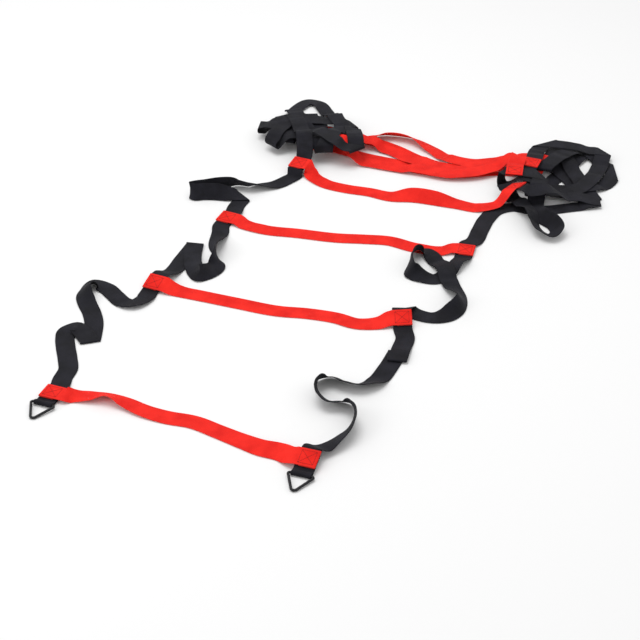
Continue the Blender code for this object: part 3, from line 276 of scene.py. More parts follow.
def rests_at(lift, tilt):
    """Height of the webbing's middle when its lowest edge lies that many layers up."""
    b = math.radians(tilt)
    return lift * LAYER + abs(math.sin(b)) * HALF + abs(math.cos(b)) * WEB_THICKNESS / 2


class Joint:
    """A sewn place: its axes run along the rung, along the rail and up out of the webbing."""

    def __init__(self, row, number):
        x_share, y_share, turn, climb, lean, self.backwards = row
        along_rung = unit(bearing(turn, lean))
        along_rail = bearing(turn + 90, climb)
        along_rail = unit(along_rail - along_rung * float(along_rail @ along_rung))
        self.rung = along_rung
        self.rail = along_rail
        self.up = np.cross(along_rung, along_rail)
        self.group = number
        self.order = -float(number % len(LEFT_JOINT_SHARES))
        self.rung_order = self.order + (RUNG_ORDER_SHARE if self.up[2] > 0 else -RUNG_UNDER_SHARE)
        carries_ring = row in (LEFT_JOINT_SHARES[0], RIGHT_JOINT_SHARES[0])
        height = rests_at(-TAIL_LAYER if carries_ring else 0, 0)
        height += HALF * (abs(along_rail[2]) + abs(along_rung[2]))
        self.place = np.array([x_share * LADDER_WIDTH, y_share * PLAN_DEPTH, height])

    def at(self, across, along, layer):
        """A point in the sewn place; layer 0 is the rail that the rung is sewn to."""
        return self.place + self.rung * across + self.rail * along + self.up * (layer * LAYER)


class Ribbon:
    """Webbing as rows: middle, half-width arm, thickness direction, order, sewn place, in a fold or not."""

    def __init__(self, name):
        self.name = name
        self.rows = []
        self.trims = []

    def add(self, place, arm, normal, order, group=-1, folded=False):
        self.rows.append((np.array(place), np.array(arm), np.array(normal), order, group, folded))

    def last(self):
        """The row laid last."""
        return self.rows[-1]

    def drop_rows_within(self, reach, place, first):
        """Remove the last rows that lie nearer a fold than its slanting crease reaches."""
        while len(self.rows) > first + 1 and np.linalg.norm(self.rows[-1][0] - place) < reach:
            self.rows.pop()


def glide(ribbon, places, widths, orders, t_first, t_last):
    """Lay smooth webbing through the stations; the first one is already laid."""
    p = np.array(places)
    data = np.hstack([p, np.array(widths)])
    h = np.maximum(np.linalg.norm(np.diff(p, axis=0), axis=1), SHORTEST_STEP)[:, None]
    rate = np.diff(data, axis=0) / h
    slope = np.zeros_like(data)
    slope[1:-1] = (rate[:-1] * h[1:] + rate[1:] * h[:-1]) / (h[:-1] + h[1:])
    slope[0], slope[-1] = rate[0], rate[-1]
    slope[0, :3], slope[-1, :3] = t_first, t_last
    rows = []
    for i in range(len(p) - 1):
        count = max(2, math.ceil(float(h[i, 0]) / FINE_STEP))
        for k in range(1, count + 1):
            u = k / count
            a, b = 2 * u**3 - 3 * u**2 + 1, u**3 - 2 * u**2 + u
            c, d = -2 * u**3 + 3 * u**2, u**3 - u**2
            row = a * data[i] + c * data[i + 1] + h[i, 0] * (b * slope[i] + d * slope[i + 1])
            rows.append((row, orders[i] + u * (orders[i + 1] - orders[i])))
    track = np.vstack([data[0, :3]] + [row[:3] for row, _ in rows])
    for k, (row, order) in enumerate(rows, start=1):
        ahead = track[k + 1] - track[k - 1] if k + 1 < len(track) else np.array(t_last)
        t = unit(ahead)
        w = unit(row[3:] - t * float(t @ row[3:]))
        ribbon.add(row[:3], w * HALF, np.cross(t, w), order)


def fold(ribbon, start, t_in, t_out, w_in, over, orders):
    """Turn the webbing over a crease, so that it leaves on top of itself or beneath.

    Returns where it ends, its width and how far the crease's slant reaches along the webbing.
    """
    middle = t_in + t_out
    crease = unit(middle) if np.linalg.norm(middle) > FOLD_SQUARE_SHARE else np.array(w_in)
    if crease @ w_in < 0:
        crease = -crease
    out = unit(t_in - crease * float(t_in @ crease))
    slant = float(t_in @ crease) / float(t_in @ out)
    arm = crease * HALF / float(crease @ w_in)
    side = 1 if over else -1
    up = np.array([0.0, 0.0, float(side)])
    radius = SETTLED_LAYER / 2
    flat_normal = np.cross(t_in, w_in)
    sign = 1 if flat_normal @ np.cross(out, arm) > 0 else -1
    for k in range(FOLD_STEPS + 1):
        a = math.pi * k / FOLD_STEPS
        place = start + out * radius * math.sin(a) + up * radius * (1 - math.cos(a))
        place = place + crease * slant * radius * a
        travel = out * math.cos(a) + up * math.sin(a)
        share = k / FOLD_STEPS
        order = orders[0] + share * (orders[1] - orders[0])
        ribbon.add(place, arm, sign * unit(np.cross(travel, arm)), order, folded=True)
    w_out = 2 * float(crease @ w_in) * crease - w_in
    return np.array(ribbon.last()[0]), w_out, HALF * abs(slant)


def is_fold(station):
    """Whether a row of a route is a fold, which ends in a word."""
    return isinstance(station[-1], str)


def fold_levels(table):
    """How far a fold close by lifts each place, so that webbing stays clear of its own other layer."""
    spots = np.array([[row[0] * LADDER_WIDTH, row[1] * PLAN_DEPTH] for row in table])
    along = np.concatenate([[0.0], np.cumsum(np.linalg.norm(np.diff(spots, axis=0), axis=1))])
    levels = [0.0] * len(table)
    for k, row in enumerate(table):
        if not is_fold(row):
            continue
        for j in range(len(table)):
            near = 0 < abs(along[j] - along[k]) < CLOSE_LENGTH
            if near and ((row[3] == "over" and j > k) or (row[3] == "under" and j < k)):
                levels[j] += SETTLED_LAYER
    return levels


def run_between(ribbon, leave, arrive, table):
    """Lay the webbing from one fixed place to the next; each is a place, direction, width and order."""
    place, t_first, width, order = leave
    places, widths, orders = [place], [width], [order]
    begin = len(ribbon.rows)
    per_row = (arrive[3] - order) / (len(table) + 1)
    table = [(x, y, order + per_row * (k + 1) + early, *rest) for k, (x, y, early, *rest) in enumerate(table)]
    levels = fold_levels(table)
    for index, row in enumerate(table):
        spot = np.array([row[0] * LADDER_WIDTH, row[1] * PLAN_DEPTH, rests_at(0, 0) + levels[index]])
        if not is_fold(row):
            spot[2] = rests_at(0, row[4]) + levels[index]
            width = bearing(row[3], row[4])
            width = width if width @ widths[-1] >= 0 else -width
            places.append(spot)
            widths.append(width)
            orders.append(row[2])
            continue
        over = row[3] == "over"
        following = (table[index + 1:] + [None])[0]
        if following:
            target = np.array([following[0] * LADDER_WIDTH, following[1] * PLAN_DEPTH, spot[2]])
        else:
            target = np.array([arrive[0][0], arrive[0][1], spot[2]])
        t_in = unit((spot - places[-1]) * np.array([1.0, 1.0, 0.0]))
        t_out = unit(target - spot)
        width = np.cross(t_in, [0.0, 0.0, 1.0])
        width = width if width @ widths[-1] >= 0 else -width
        start = spot - t_in * SETTLED_LAYER / 2
        if not over:
            start[2] += SETTLED_LAYER
        glide(ribbon, places + [start], widths + [width], orders + [row[2]], t_first, t_in)
        later = row[2] + (FOLD_ORDER_SHARE if over else -FOLD_ORDER_SHARE)
        trimmed = Ribbon("crease")
        place, width, reach = fold(trimmed, start, t_in, t_out, width, over, (row[2], later))
        ribbon.drop_rows_within(reach + FINE_STEP / 2, start, begin)
        ribbon.rows += trimmed.rows
        begin = len(ribbon.rows)
        ribbon.trims.append((reach + FINE_STEP / 2, place, begin))
        places, widths, orders = [place], [width], [later]
        t_first = t_out
    place, t_last, width, order = arrive
    width = width if width @ widths[-1] >= 0 else -width
    glide(ribbon, places + [place], widths + [width], orders + [order], t_first, t_last)
    for reach, near, first in reversed(ribbon.trims):
        while first < len(ribbon.rows) - 1 and np.linalg.norm(ribbon.rows[first][0] - near) < reach:
            ribbon.rows.pop(first)
    ribbon.trims = []
    return width


def straight(ribbon, joint, start, end, travel, width):
    """Lay flat webbing between two points of a sewn place, the first one included."""
    count = max(1, math.ceil(float(np.linalg.norm(end - start)) / FINE_STEP))
    normal = np.cross(travel, width)
    for k in range(count + 1):
        ribbon.add(start + (end - start) * (k / count), width * HALF, normal, joint.order, joint.group)


def hairpin(ribbon, joint, centre, radius, out, up, width, sweep=math.pi):
    """Bend the webbing round a centre, from below or above it, towards its outer side."""
    for k in range(1, FOLD_STEPS + 1):
        a = sweep * k / FOLD_STEPS
        place = centre + out * radius * math.sin(a) - up * radius * math.cos(a)
        travel = out * math.cos(a) + up * math.sin(a)
        ribbon.add(place, width * HALF, np.cross(travel, width), joint.order, joint.group)


def build_rail(name, joints, routes):
    """A rail: folded back round its ring, then through every sewn place to its far end."""
    ribbon = Ribbon(name)
    first = joints[0]
    width = first.rung
    bar = ring_bar(first)
    level = first.at(0, 0, TAIL_LAYER)
    foot = bar - first.up * LOOP_RADIUS
    straight(ribbon, first, level + first.rail * (HALF - STITCH_MARGIN), foot, -first.rail, width)
    hairpin(ribbon, first, bar, LOOP_RADIUS, -first.rail, first.up, width, LOOP_TURN)
    leaving = -first.rail * math.cos(LOOP_TURN) + first.up * math.sin(LOOP_TURN)
    entry = first.at(0, -SEWN_REACH, 0)
    loop_end = len(ribbon.rows)
    glide(ribbon, [ribbon.last()[0], entry], [width, width], [first.order] * 2, leaving, first.rail)
    ribbon.rows[loop_end:] = [row[:4] + (first.group, False) for row in ribbon.rows[loop_end:]]
    for index, joint in enumerate(joints):
        travel = -joint.rail if joint.backwards else joint.rail
        start, end = joint.place - travel * SEWN_REACH, joint.place + travel * SEWN_REACH
        if index:
            before = joints[index - 1]
            leave = (ribbon.last()[0], sewn_travel, width, before.order)
            width = run_between(ribbon, leave, (start, travel, joint.rung, joint.order), routes[index - 1])
        straight(ribbon, joint, start + travel * FINE_STEP / 2, end, travel, width)
        sewn_travel = travel
    return ribbon


def ring_bar(joint):
    """Middle of the ring's straight bar, round which the rail is folded back."""
    return joint.at(0, -(HALF + RING_REACH), TAIL_LAYER) + joint.up * LOOP_RADIUS


# Rungs.
# Nine lengths of red woven webbing, turned under at both ends and laid across the rails.
# The free middle of each rung is given from left to right, like the rails.
RUNG_ROUTE_SHARES = [
    [
        (-0.675, -0.592, 1, -95, 0), (-0.620, -0.585, 0, -90, 10), (-0.560, -0.580, 0, -95, 30),
        (-0.500, -0.595, 0, -105, 12), (-0.430, -0.620, 0, -108, 5), (-0.350, -0.635, 0, -98, 0),
        (-0.270, -0.640, 0, -98, 0), (-0.180, -0.670, 0, -108, 0), (-0.090, -0.705, 0, -108, -5),
        (-0.030, -0.728, 0, -103, -12), (0.035, -0.741, 0, -100, -18),
    ],
    [
        (-0.530, 0.070, 0, -100, -5), (-0.430, 0.058, 0, -96, 0), (-0.300, 0.040, 0, -96, 0),
        (-0.150, 0.022, 0, -92, 0), (-0.050, 0.028, 0, -90, 0), (0.050, 0.022, 0, -95, 0),
        (0.130, 0.002, 0, -92, 0), (0.200, 0.015, 0, -75, -8),
    ],
    [
        (-0.410, 0.565, 0, -112, 0), (-0.330, 0.545, 0, -95, 0), (-0.200, 0.545, 0, -90, 0),
        (-0.050, 0.543, 0, -90, 0), (0.050, 0.555, 0, -85, 0), (0.140, 0.562, 0, -92, 0),
        (0.240, 0.535, 0, -100, 0), (0.340, 0.530, 0, -85, 0),
    ],
    [
        (-0.238, 0.982, 0, -130, 0), (-0.180, 0.938, 0, -115, 0), (-0.095, 0.915, 0, -98, 0),
        (0.010, 0.905, 0, -96, 0), (0.090, 0.885, 0, -90, -5), (0.170, 0.890, 0, -85, -30),
        (0.260, 0.885, 0, -90, -30), (0.350, 0.880, 0, -88, -5), (0.430, 0.870, 0, -75, 0),
        (0.500, 0.900, 0, -50, 12),
    ],
    [
        (-0.120, 1.145, 0, -100, 0), (-0.020, 1.130, 0, -100, 0), (0.080, 1.115, 0, -95, 0),
        (0.180, 1.105, 0, -95, 0), (0.290, 1.090, 0, -90, 0), (0.380, 1.115, 0, -65, 0),
        (0.460, 1.168, -0.2, -75, 0), (0.548, 1.200, -0.3, "over"),
    ],
    [
        (-0.100, 1.275, 0, -90, 0), (0.020, 1.255, 0, -115, 0), (0.110, 1.200, 0, -120, 0),
        (0.200, 1.155, 0, -110, 0), (0.280, 1.135, 0, -92, 0), (0.360, 1.145, 0, -75, 0),
        (0.440, 1.170, 0, -75, 0), (0.520, 1.185, 0, -90, 0),
    ],
    [
        (-0.105, 1.312, 0, -82, 0), (-0.010, 1.365, 0, -90, 35), (0.090, 1.360, 0, -110, 35),
        (0.190, 1.295, 0, -125, 10), (0.280, 1.225, 0, -115, 0), (0.370, 1.210, 0, -80, 0),
        (0.460, 1.240, 0, -70, 0), (0.560, 1.275, 0, -85, 0),
    ],
    [
        (-0.200, 1.340, 0, -90, 0), (-0.080, 1.330, 0, -100, 0), (0.030, 1.285, 0, -115, 0),
        (0.130, 1.220, 0, -120, 0), (0.210, 1.175, 0, -105, 0), (0.340, 1.160, 0, -85, 0),
        (0.450, 1.180, 0, -78, 0), (0.550, 1.200, 0, -88, 0),
    ],
    [
        (-0.180, 1.225, 0, -95, 0), (-0.080, 1.190, 0, -100, 0), (0.060, 1.160, 0, -100, 0),
        (0.200, 1.120, 0, -95, 0), (0.340, 1.130, 0, -80, 0), (0.450, 1.170, 0, -75, 0),
        (0.530, 1.180, 0, -90, 0),
    ],
]


def build_rung(name, left, right, route):
    """A rung: turned under at each end and laid over both rails."""
    ribbon = Ribbon(name)
    width = -left.rail
    turn = LAYER / 2
    between = (HEM_LAYER + RUNG_LAYER) / 2
    start, end = left.at(HEM_LENGTH - HALF, 0, HEM_LAYER), left.at(turn - HALF, 0, HEM_LAYER)
    straight(ribbon, left, start, end, -left.rung, width)
    hairpin(ribbon, left, left.at(turn - HALF, 0, between), turn, -left.rung, left.up, width)
    start, end = left.at(turn - HALF + FINE_STEP, 0, RUNG_LAYER), left.at(SEWN_REACH, 0, RUNG_LAYER)
    straight(ribbon, left, start, end, left.rung, width)
    leave = (ribbon.last()[0], left.rung, width, left.rung_order)
    arrive = (right.at(-SEWN_REACH, 0, RUNG_LAYER), right.rung, right.rail, right.rung_order)
    width = run_between(ribbon, leave, arrive, route)
    start, end = right.at(FINE_STEP - SEWN_REACH, 0, RUNG_LAYER), right.at(HALF - turn, 0, RUNG_LAYER)
    straight(ribbon, right, start, end, right.rung, width)
    hairpin(ribbon, right, right.at(HALF - turn, 0, between), turn, right.rung, -right.up, width)
    start, end = right.at(HALF - turn - FINE_STEP, 0, HEM_LAYER), right.at(HALF - HEM_LENGTH, 0, HEM_LAYER)
    straight(ribbon, right, start, end, -right.rung, width)
    return ribbon


# Settling.
# Each length rests on whatever was laid before it, so loose webbing climbs over what it crosses.
# Sewn places stay flat, and the rings hang from the first two with their tips on the floor.
def settle(ribbons, turned_over):
    """Raise each length of webbing just clear of what is laid beneath it; returns the rise of every row.

    A sewn place that is turned over has its stitching underneath and stands clear of the floor by as much.
    """
    place = np.array([row[0] for r in ribbons for row in r.rows])
    arm = np.array([row[1] for r in ribbons for row in r.rows])
    order = np.array([row[3] for r in ribbons for row in r.rows])
    group = np.array([row[4] for r in ribbons for row in r.rows])
    folded = np.array([row[5] for r in ribbons for row in r.rows])
    owner = np.concatenate([np.full(len(r.rows), k) for k, r in enumerate(ribbons)])
    step = np.linalg.norm(np.diff(place, axis=0), axis=1)
    along = np.concatenate([[0.0], np.cumsum(step)])
    beside = np.full(len(group), -1)
    for g in range(group.max() + 1):
        for k in range(len(ribbons)):
            mine = (group == g) & (owner == k)
            if mine.any():
                ends = along[mine].min() - BESIDE_LENGTH, along[mine].max() + BESIDE_LENGTH
                beside[(owner == k) & (along > ends[0]) & (along < ends[1])] = g
    lowest = place[:, 2] - np.abs(arm[:, 2]) - WEB_THICKNESS / 2
    lowest[np.isin(group, turned_over)] -= THREAD_CLEARANCE + THREAD_HEIGHT
    need = np.maximum(0.0, -lowest)
    low, share, spot = [], [], []
    across = np.linspace(-1, 1, ACROSS_STEPS + 1)
    for i in range(len(place) - 1):
        if owner[i] != owner[i + 1]:
            continue
        reach = max(np.linalg.norm(place[i + 1] + s * arm[i + 1] - place[i] - s * arm[i]) for s in (-1, 1))
        count = max(1, math.ceil(float(reach) / FINE_STEP))
        for k in range(count):
            u = (k + 0.5) / count
            middle = place[i] * (1 - u) + place[i + 1] * u
            half = arm[i] * (1 - u) + arm[i + 1] * u
            spot.append(middle + across[:, None] * half)
            low.append(np.full(len(across), i))
            share.append(np.full(len(across), u))
    spot, low, share = np.vstack(spot), np.concatenate(low), np.concatenate(share)
    cell = np.floor((spot[:, :2] - spot[:, :2].min(axis=0)) / SETTLE_CELL).astype(int)
    key = cell[:, 0] * (cell[:, 1].max() + 1) + cell[:, 1]
    rank = order[low] * (1 - share) + order[low + 1] * share
    sorted_by = np.lexsort((rank, key))
    spot, low, share, key, rank = (x[sorted_by] for x in (spot, low, share, key, rank))
    where = along[low] * (1 - share) + along[low + 1] * share
    under, above = [], []
    for k in range(1, len(key)):
        same = np.nonzero(key[k:] == key[:-k])[0]
        if not len(same):
            break
        a, b = same, same + k
        alike = (owner[low[a]] == owner[low[b]]) & (np.abs(where[a] - where[b]) < CLOSE_LENGTH)
        sewn = (beside[low[a]] >= 0) & (beside[low[a]] == beside[low[b]])
        kept = ~(alike | sewn)
        under.append(a[kept])
        above.append(b[kept])
    under, above = np.concatenate(under), np.concatenate(above)
    rise = need.copy()
    sewn_near = (beside[low[under]] >= 0) | (beside[low[above]] >= 0)
    apart = SETTLED_LAYER + np.where(sewn_near, THREAD_CLEARANCE + THREAD_HEIGHT, 0.0)
    for _ in range(SETTLE_TURNS):
        rise = smooth_rise(need, owner, along, group, folded)
        height = spot[:, 2] + rise[low] * (1 - share) + rise[low + 1] * share
        short = height[under] + apart - height[above]
        wrong = short > SETTLE_ERROR
        if not wrong.any():
            break
        hit, lack = above[wrong], short[wrong]
        wanted = height[hit] - spot[hit, 2] + lack
        np.maximum.at(need, low[hit], wanted)
        np.maximum.at(need, low[hit] + 1, wanted)
    return rise


def smooth_rise(need, owner, along, group, folded):
    """The least rise that meets every need, climbs gently between folds and keeps each sewn place rigid."""
    begins = np.nonzero((np.diff(owner, prepend=-1) != 0) | (np.diff(folded.astype(int), prepend=0) != 0))[0]
    runs = [(int(a), int(b)) for a, b in zip(begins, list(begins[1:]) + [len(need)])]
    rise = need.copy()
    for a, b in runs:
        if folded[a]:
            half = (a + b) // 2
            rise[a - 1] = max(rise[a - 1], rise[a:half].max())
            rise[b] = max(rise[b], rise[half:b].max())
    sewn = group >= 0
    levels = np.full(group.max() + 1, 0.0)
    np.maximum.at(levels, group[sewn], rise[sewn])
    rise[sewn] = levels[group[sewn]]
    for a, b in runs:
        if folded[a]:
            continue
        s = along[a:b] * RISE_SHARE
        r = rise[a:b]
        ahead = np.maximum.accumulate(r + s) - s
        back = np.maximum.accumulate((r - s)[::-1])[::-1] + s
        r = np.maximum(ahead, back)
        for spread in ("max", "mean"):
            ends = np.pad(r, SMOOTH_STEPS, mode="edge")
            windows = np.lib.stride_tricks.sliding_window_view(ends, 2 * SMOOTH_STEPS + 1)
            r = windows.max(axis=1) if spread == "max" else windows.mean(axis=1)
        rise[a:b] = r
    np.maximum.at(levels, group[sewn], rise[sewn])
    rise[sewn] = levels[group[sewn]]
    for a, b in runs:
        if folded[a]:
            rise[a:b] = np.linspace(rise[a - 1], rise[b], b - a + 2)[1:-1]
    return rise


def ring_corners():
    """Where the ring's three wire lines would meet: half the bar line and the apex's distance from it."""
    half_bar, depth = HALF, RING_HEIGHT
    for _ in range(RING_TURNS):
        base_half_angle = math.atan2(depth, half_bar) / 2
        apex_half_angle = math.atan2(half_bar, depth)
        half_bar = HALF + RING_SIDE_CLEARANCE + RING_CORNER / math.tan(base_half_angle)
        depth = RING_HEIGHT + RING_APEX_CORNER / math.sin(apex_half_angle) - RING_APEX_CORNER
    return half_bar, depth


def ring_outline():
    """The ring's wire axis: a straight bar through the origin and an apex at a distance below it."""
    half_bar, depth = ring_corners()
    corners = [(-half_bar, 0.0, RING_CORNER), (half_bar, 0.0, RING_CORNER), (0.0, -depth, RING_APEX_CORNER)]
    path = []
    for k, (x, y, bend) in enumerate(corners):
        here = np.array([x, y])
        back = unit(np.array(corners[k - 1][:2]) - here)
        ahead = unit(np.array(corners[(k + 1) % 3][:2]) - here)
        half_angle = math.acos(float(np.clip(back @ ahead, -1, 1))) / 2
        reach = bend / math.tan(half_angle)
        centre = here + unit(back + ahead) * bend / math.sin(half_angle)
        start, end = here + back * reach - centre, here + ahead * reach - centre
        first = math.atan2(start[1], start[0])
        sweep = (math.atan2(end[1], end[0]) - first + math.pi) % (2 * math.pi) - math.pi
        for step in range(RING_CORNER_STEPS + 1):
            a = first + sweep * step / RING_CORNER_STEPS
            path.append(tuple(centre + bend * np.array([math.cos(a), math.sin(a)])))
    return path


def ring_frame(joint, rise):
    """Middle of the ring's bar, the bar's direction and that of the apex, which rests on the floor."""
    bar = ring_bar(joint) + np.array([0.0, 0.0, rise])
    droop = math.asin(min(1.0, max(0.0, (bar[2] - RING_WIRE / 2) / RING_HEIGHT)))
    away = unit(np.cross(joint.rung, [0.0, 0.0, 1.0]))
    return bar, joint.rung, away * math.cos(droop) - np.array([0.0, 0.0, math.sin(droop)])


def lay_ladder():
    """Lay and settle all webbing; returns it, the sewn places, their rises and the middle of the plan."""
    left = [Joint(row, k) for k, row in enumerate(LEFT_JOINT_SHARES)]
    right = [Joint(row, len(left) + k) for k, row in enumerate(RIGHT_JOINT_SHARES)]
    ribbons = [build_rail("rail_left", left, LEFT_ROUTE_SHARES)]
    ribbons.append(build_rail("rail_right", right, RIGHT_ROUTE_SHARES))
    for k, route in enumerate(RUNG_ROUTE_SHARES):
        ribbons.append(build_rung("rung_" + str(k + 1), left[k], right[k], route))
    rise = settle(ribbons, [joint.group for joint in left + right if joint.up[2] < 0])
    edges = []
    levels = {}
    begin = 0
    for ribbon in ribbons:
        ribbon.rise = rise[begin:begin + len(ribbon.rows)]
        begin += len(ribbon.rows)
        for row, lift in zip(ribbon.rows, ribbon.rise):
            edges += [row[0] - row[1], row[0] + row[1]]
            if row[4] >= 0:
                levels[row[4]] = float(lift)
    for joint in (left[0], right[0]):
        bar, across, reach = ring_frame(joint, levels[joint.group])
        for x, y in ring_outline():
            point = bar + across * x - reach * y
            edges += [point - RING_WIRE / 2, point + RING_WIRE / 2]
    middle = (np.min(edges, axis=0) + np.max(edges, axis=0)) / 2
    return ribbons, left, right, levels, np.array([middle[0], middle[1], 0.0])


ribbons, left, right, levels, shift = lay_ladder()
aim_camera((-shift[0], -shift[1], 0.0))

# Webbing.
# Rails and rungs are 30 mm polyester webbing, plain woven: ribs run along it, finer picks cross them, and a
# doubled thread closes each edge. The colour is painted darker in the grooves of the weave, as painted shade,
# and varies in random patches. Towards each edge it is mixed in uneven patches with an edge colour: painted
# shade on the black webbing, a lighter red on the red.
SECTION_POINTS = 13
FLAT_SHARE = 0.94           # of the half width, beyond which the edge is rounded
ROUND_SHARE = 0.85          # of the half thickness, halfway round the edge
RIB_PITCH = 0.0015
PICK_PITCH = 0.0011
PICK_SHARE = 0.6            # how high the picks stand against the ribs
FIBRE_SHARE = 0.5
WEAVE_HEIGHT = 0.00016
WEAVE_SHADE, FIBRE_SHADE = 0.16, 0.35
FIBRE_SCALE, PATCH_SCALE, EDGE_PATCH_SCALE = 2400, 38, 260
SELVEDGE_START, SELVEDGE_END = 0.465 * WEB_WIDTH, 0.5 * WEB_WIDTH


def web_profile():
    """Points round the webbing's cross-section: share of the half width and of the half thickness."""
    flat = np.linspace(-FLAT_SHARE, FLAT_SHARE, SECTION_POINTS)
    edge = (1 + FLAT_SHARE) / 2
    half = [(s, -1.0) for s in flat] + [(edge, -ROUND_SHARE), (1.0, 0.0), (edge, ROUND_SHARE)]
    return half + [(-s, -t) for s, t in half]


def web_mesh(ribbon):
    """The band's mesh, closed at both cut ends, with a map in metres."""
    profile = web_profile()
    count = len(profile)
    points = []
    along = 0.0
    distances = []
    before = None
    for (place, arm, normal, *_), lift in zip(ribbon.rows, ribbon.rise):
        here = place + np.array([0.0, 0.0, lift]) - shift
        if before is not None:
            along += float(np.linalg.norm(here - before))
        before = here
        distances.append(along)
        for s, t in profile:
            points.append(here + arm * s + normal * (t * WEB_THICKNESS / 2))
    faces = []
    for i in range(len(ribbon.rows) - 1):
        for a in range(count):
            b = (a + 1) % count
            faces.append((i * count + a, i * count + b, (i + 1) * count + b, (i + 1) * count + a))
    last = (len(ribbon.rows) - 1) * count
    faces.append(tuple(range(count))[::-1])
    faces.append(tuple(range(last, last + count)))
    mesh = bpy.data.meshes.new(ribbon.name + "_webbing")
    mesh.from_pydata([tuple(p) for p in points], [], faces)
    uv = mesh.uv_layers.new(name="weave")
    for loop in mesh.loops:
        row, spot = divmod(loop.vertex_index, count)
        uv.data[loop.index].uv = ((profile[spot][0] + 1) * WEB_WIDTH / 2, distances[row])
    work = bmesh.new()
    work.from_mesh(mesh)
    bmesh.ops.recalc_face_normals(work, faces=work.faces)
    work.to_mesh(mesh)
    work.free()
    mesh.shade_smooth()
    return mesh, along


def started(name, specular):
    """A material with its shader; returns both and the material's node tree."""
    made = bpy.data.materials.new(name)
    made.use_nodes = True
    shader = made.node_tree.nodes["Principled BSDF"]
    shader.inputs["Specular IOR Level"].default_value = specular
    return made, shader, made.node_tree


def texture(tree, kind, scale, **settings):
    """A texture of the kind named, in the object's own coordinates."""
    place = tree.nodes.new("ShaderNodeTexCoord")
    made = tree.nodes.new(kind)
    made.inputs["Scale"].default_value = scale
    for socket, value in settings.items():
        made.inputs[socket].default_value = value
    tree.links.new(place.outputs["Object"], made.inputs["Vector"])
    return made


def stretched(tree, value, from_low, from_high, to_low, to_high):
    """A value carried from one range into another."""
    made = tree.nodes.new("ShaderNodeMapRange")
    ends = {"From Min": from_low, "From Max": from_high, "To Min": to_low, "To Max": to_high}
    for socket, end in ends.items():
        made.inputs[socket].default_value = end
    tree.links.new(value, made.inputs["Value"])
    return made.outputs[0]


def tinted(tree, value, low, low_colour, high, high_colour):
    """A colour that goes from one to the other as a value rises."""
    ramp = tree.nodes.new("ShaderNodeValToRGB")
    first, last = ramp.color_ramp.elements
    first.position, first.color = low, (*low_colour, 1)
    last.position, last.color = high, (*high_colour, 1)
    tree.links.new(value, ramp.inputs[0])
    return ramp.outputs[0]


def embossed(tree, shader, height, strength, depth):
    """Let a height show as fine relief."""
    bump = tree.nodes.new("ShaderNodeBump")
    bump.inputs["Strength"].default_value = strength
    bump.inputs["Distance"].default_value = depth
    tree.links.new(height, bump.inputs["Height"])
    tree.links.new(bump.outputs["Normal"], shader.inputs["Normal"])


def woven(name, thread_colour, groove_shade_and_patch, selvedge_tone_and_shade, sheen, shine):
    """Woven webbing: ribs along it, finer picks across, painted shade between them, and edges mixed towards a
    colour of their own, which is painted shade on the black webbing.
    """
    made, shader, tree = started(name, shine)
    nodes, links = tree.nodes, tree.links
    shader.inputs["Sheen Weight"].default_value = sheen
    shader.inputs["Sheen Roughness"].default_value = 0.5
    uv = nodes.new("ShaderNodeUVMap")
    uv.uv_map = "weave"
    split = nodes.new("ShaderNodeSeparateXYZ")
    links.new(uv.outputs["UV"], split.inputs[0])

    def joined(operation, first, second, third=None):
        """A sum of the kind named, of sockets or numbers."""
        step = nodes.new("ShaderNodeMath")
        step.operation = operation
        for socket, value in zip(step.inputs, (first, second, third)):
            if isinstance(value, bpy.types.NodeSocket):
                links.new(value, socket)
            elif value is not None:
                socket.default_value = value
        return step.outputs[0]

    rib_phase = joined("MULTIPLY", split.outputs["X"], 2 * math.pi / RIB_PITCH)
    pick_phase = joined("MULTIPLY_ADD", split.outputs["Y"], 2 * math.pi / PICK_PITCH, rib_phase)
    rib, pick = joined("SINE", rib_phase, 0.0), joined("SINE", pick_phase, 0.0)
    weave = joined("MULTIPLY_ADD", pick, PICK_SHARE, rib)
    fibres = texture(tree, "ShaderNodeTexNoise", FIBRE_SCALE, Detail=3).outputs["Fac"]
    embossed(tree, shader, joined("MULTIPLY_ADD", fibres, FIBRE_SHARE, weave), 0.6, WEAVE_HEIGHT)

    patches = texture(tree, "ShaderNodeTexNoise", PATCH_SCALE, Detail=5).outputs["Fac"]
    shade = joined("MULTIPLY_ADD", weave, WEAVE_SHADE, joined("MULTIPLY_ADD", fibres, FIBRE_SHADE, patches))
    # The colour falls to the groove colour in the weave's grooves, as painted shade, and in random darker
    # patches and fibres.
    cloth = tinted(tree, shade, 0.52, groove_shade_and_patch, 0.80, thread_colour)
    # Towards each edge the colour is mixed, in uneven patches, with the edge colour: painted shade on the
    # black webbing, a lighter red on the red.
    off_middle = joined("ABSOLUTE", joined("SUBTRACT", split.outputs["X"], WEB_WIDTH / 2), 0.0)
    edge = stretched(tree, off_middle, SELVEDGE_START, SELVEDGE_END, 0.0, 0.55)
    edge_patches = texture(tree, "ShaderNodeTexNoise", EDGE_PATCH_SCALE, Detail=4).outputs["Fac"]
    mixed = nodes.new("ShaderNodeMix")
    mixed.data_type = "RGBA"
    links.new(joined("MULTIPLY", edge, edge_patches), mixed.inputs["Factor"])
    links.new(cloth, mixed.inputs["A"])
    mixed.inputs["B"].default_value = (*selvedge_tone_and_shade, 1)
    links.new(mixed.outputs["Result"], shader.inputs["Base Color"])
    links.new(stretched(tree, patches, 0.0, 1.0, 0.66, 0.86), shader.inputs["Roughness"])
    return made


# The groove colours are painted shade in the weave's grooves and also the dark end of its random patches.
BLACK_THREAD = (0.0150, 0.0148, 0.0215)
BLACK_GROOVE_SHADE_AND_PATCH = (0.0030, 0.0030, 0.0048)
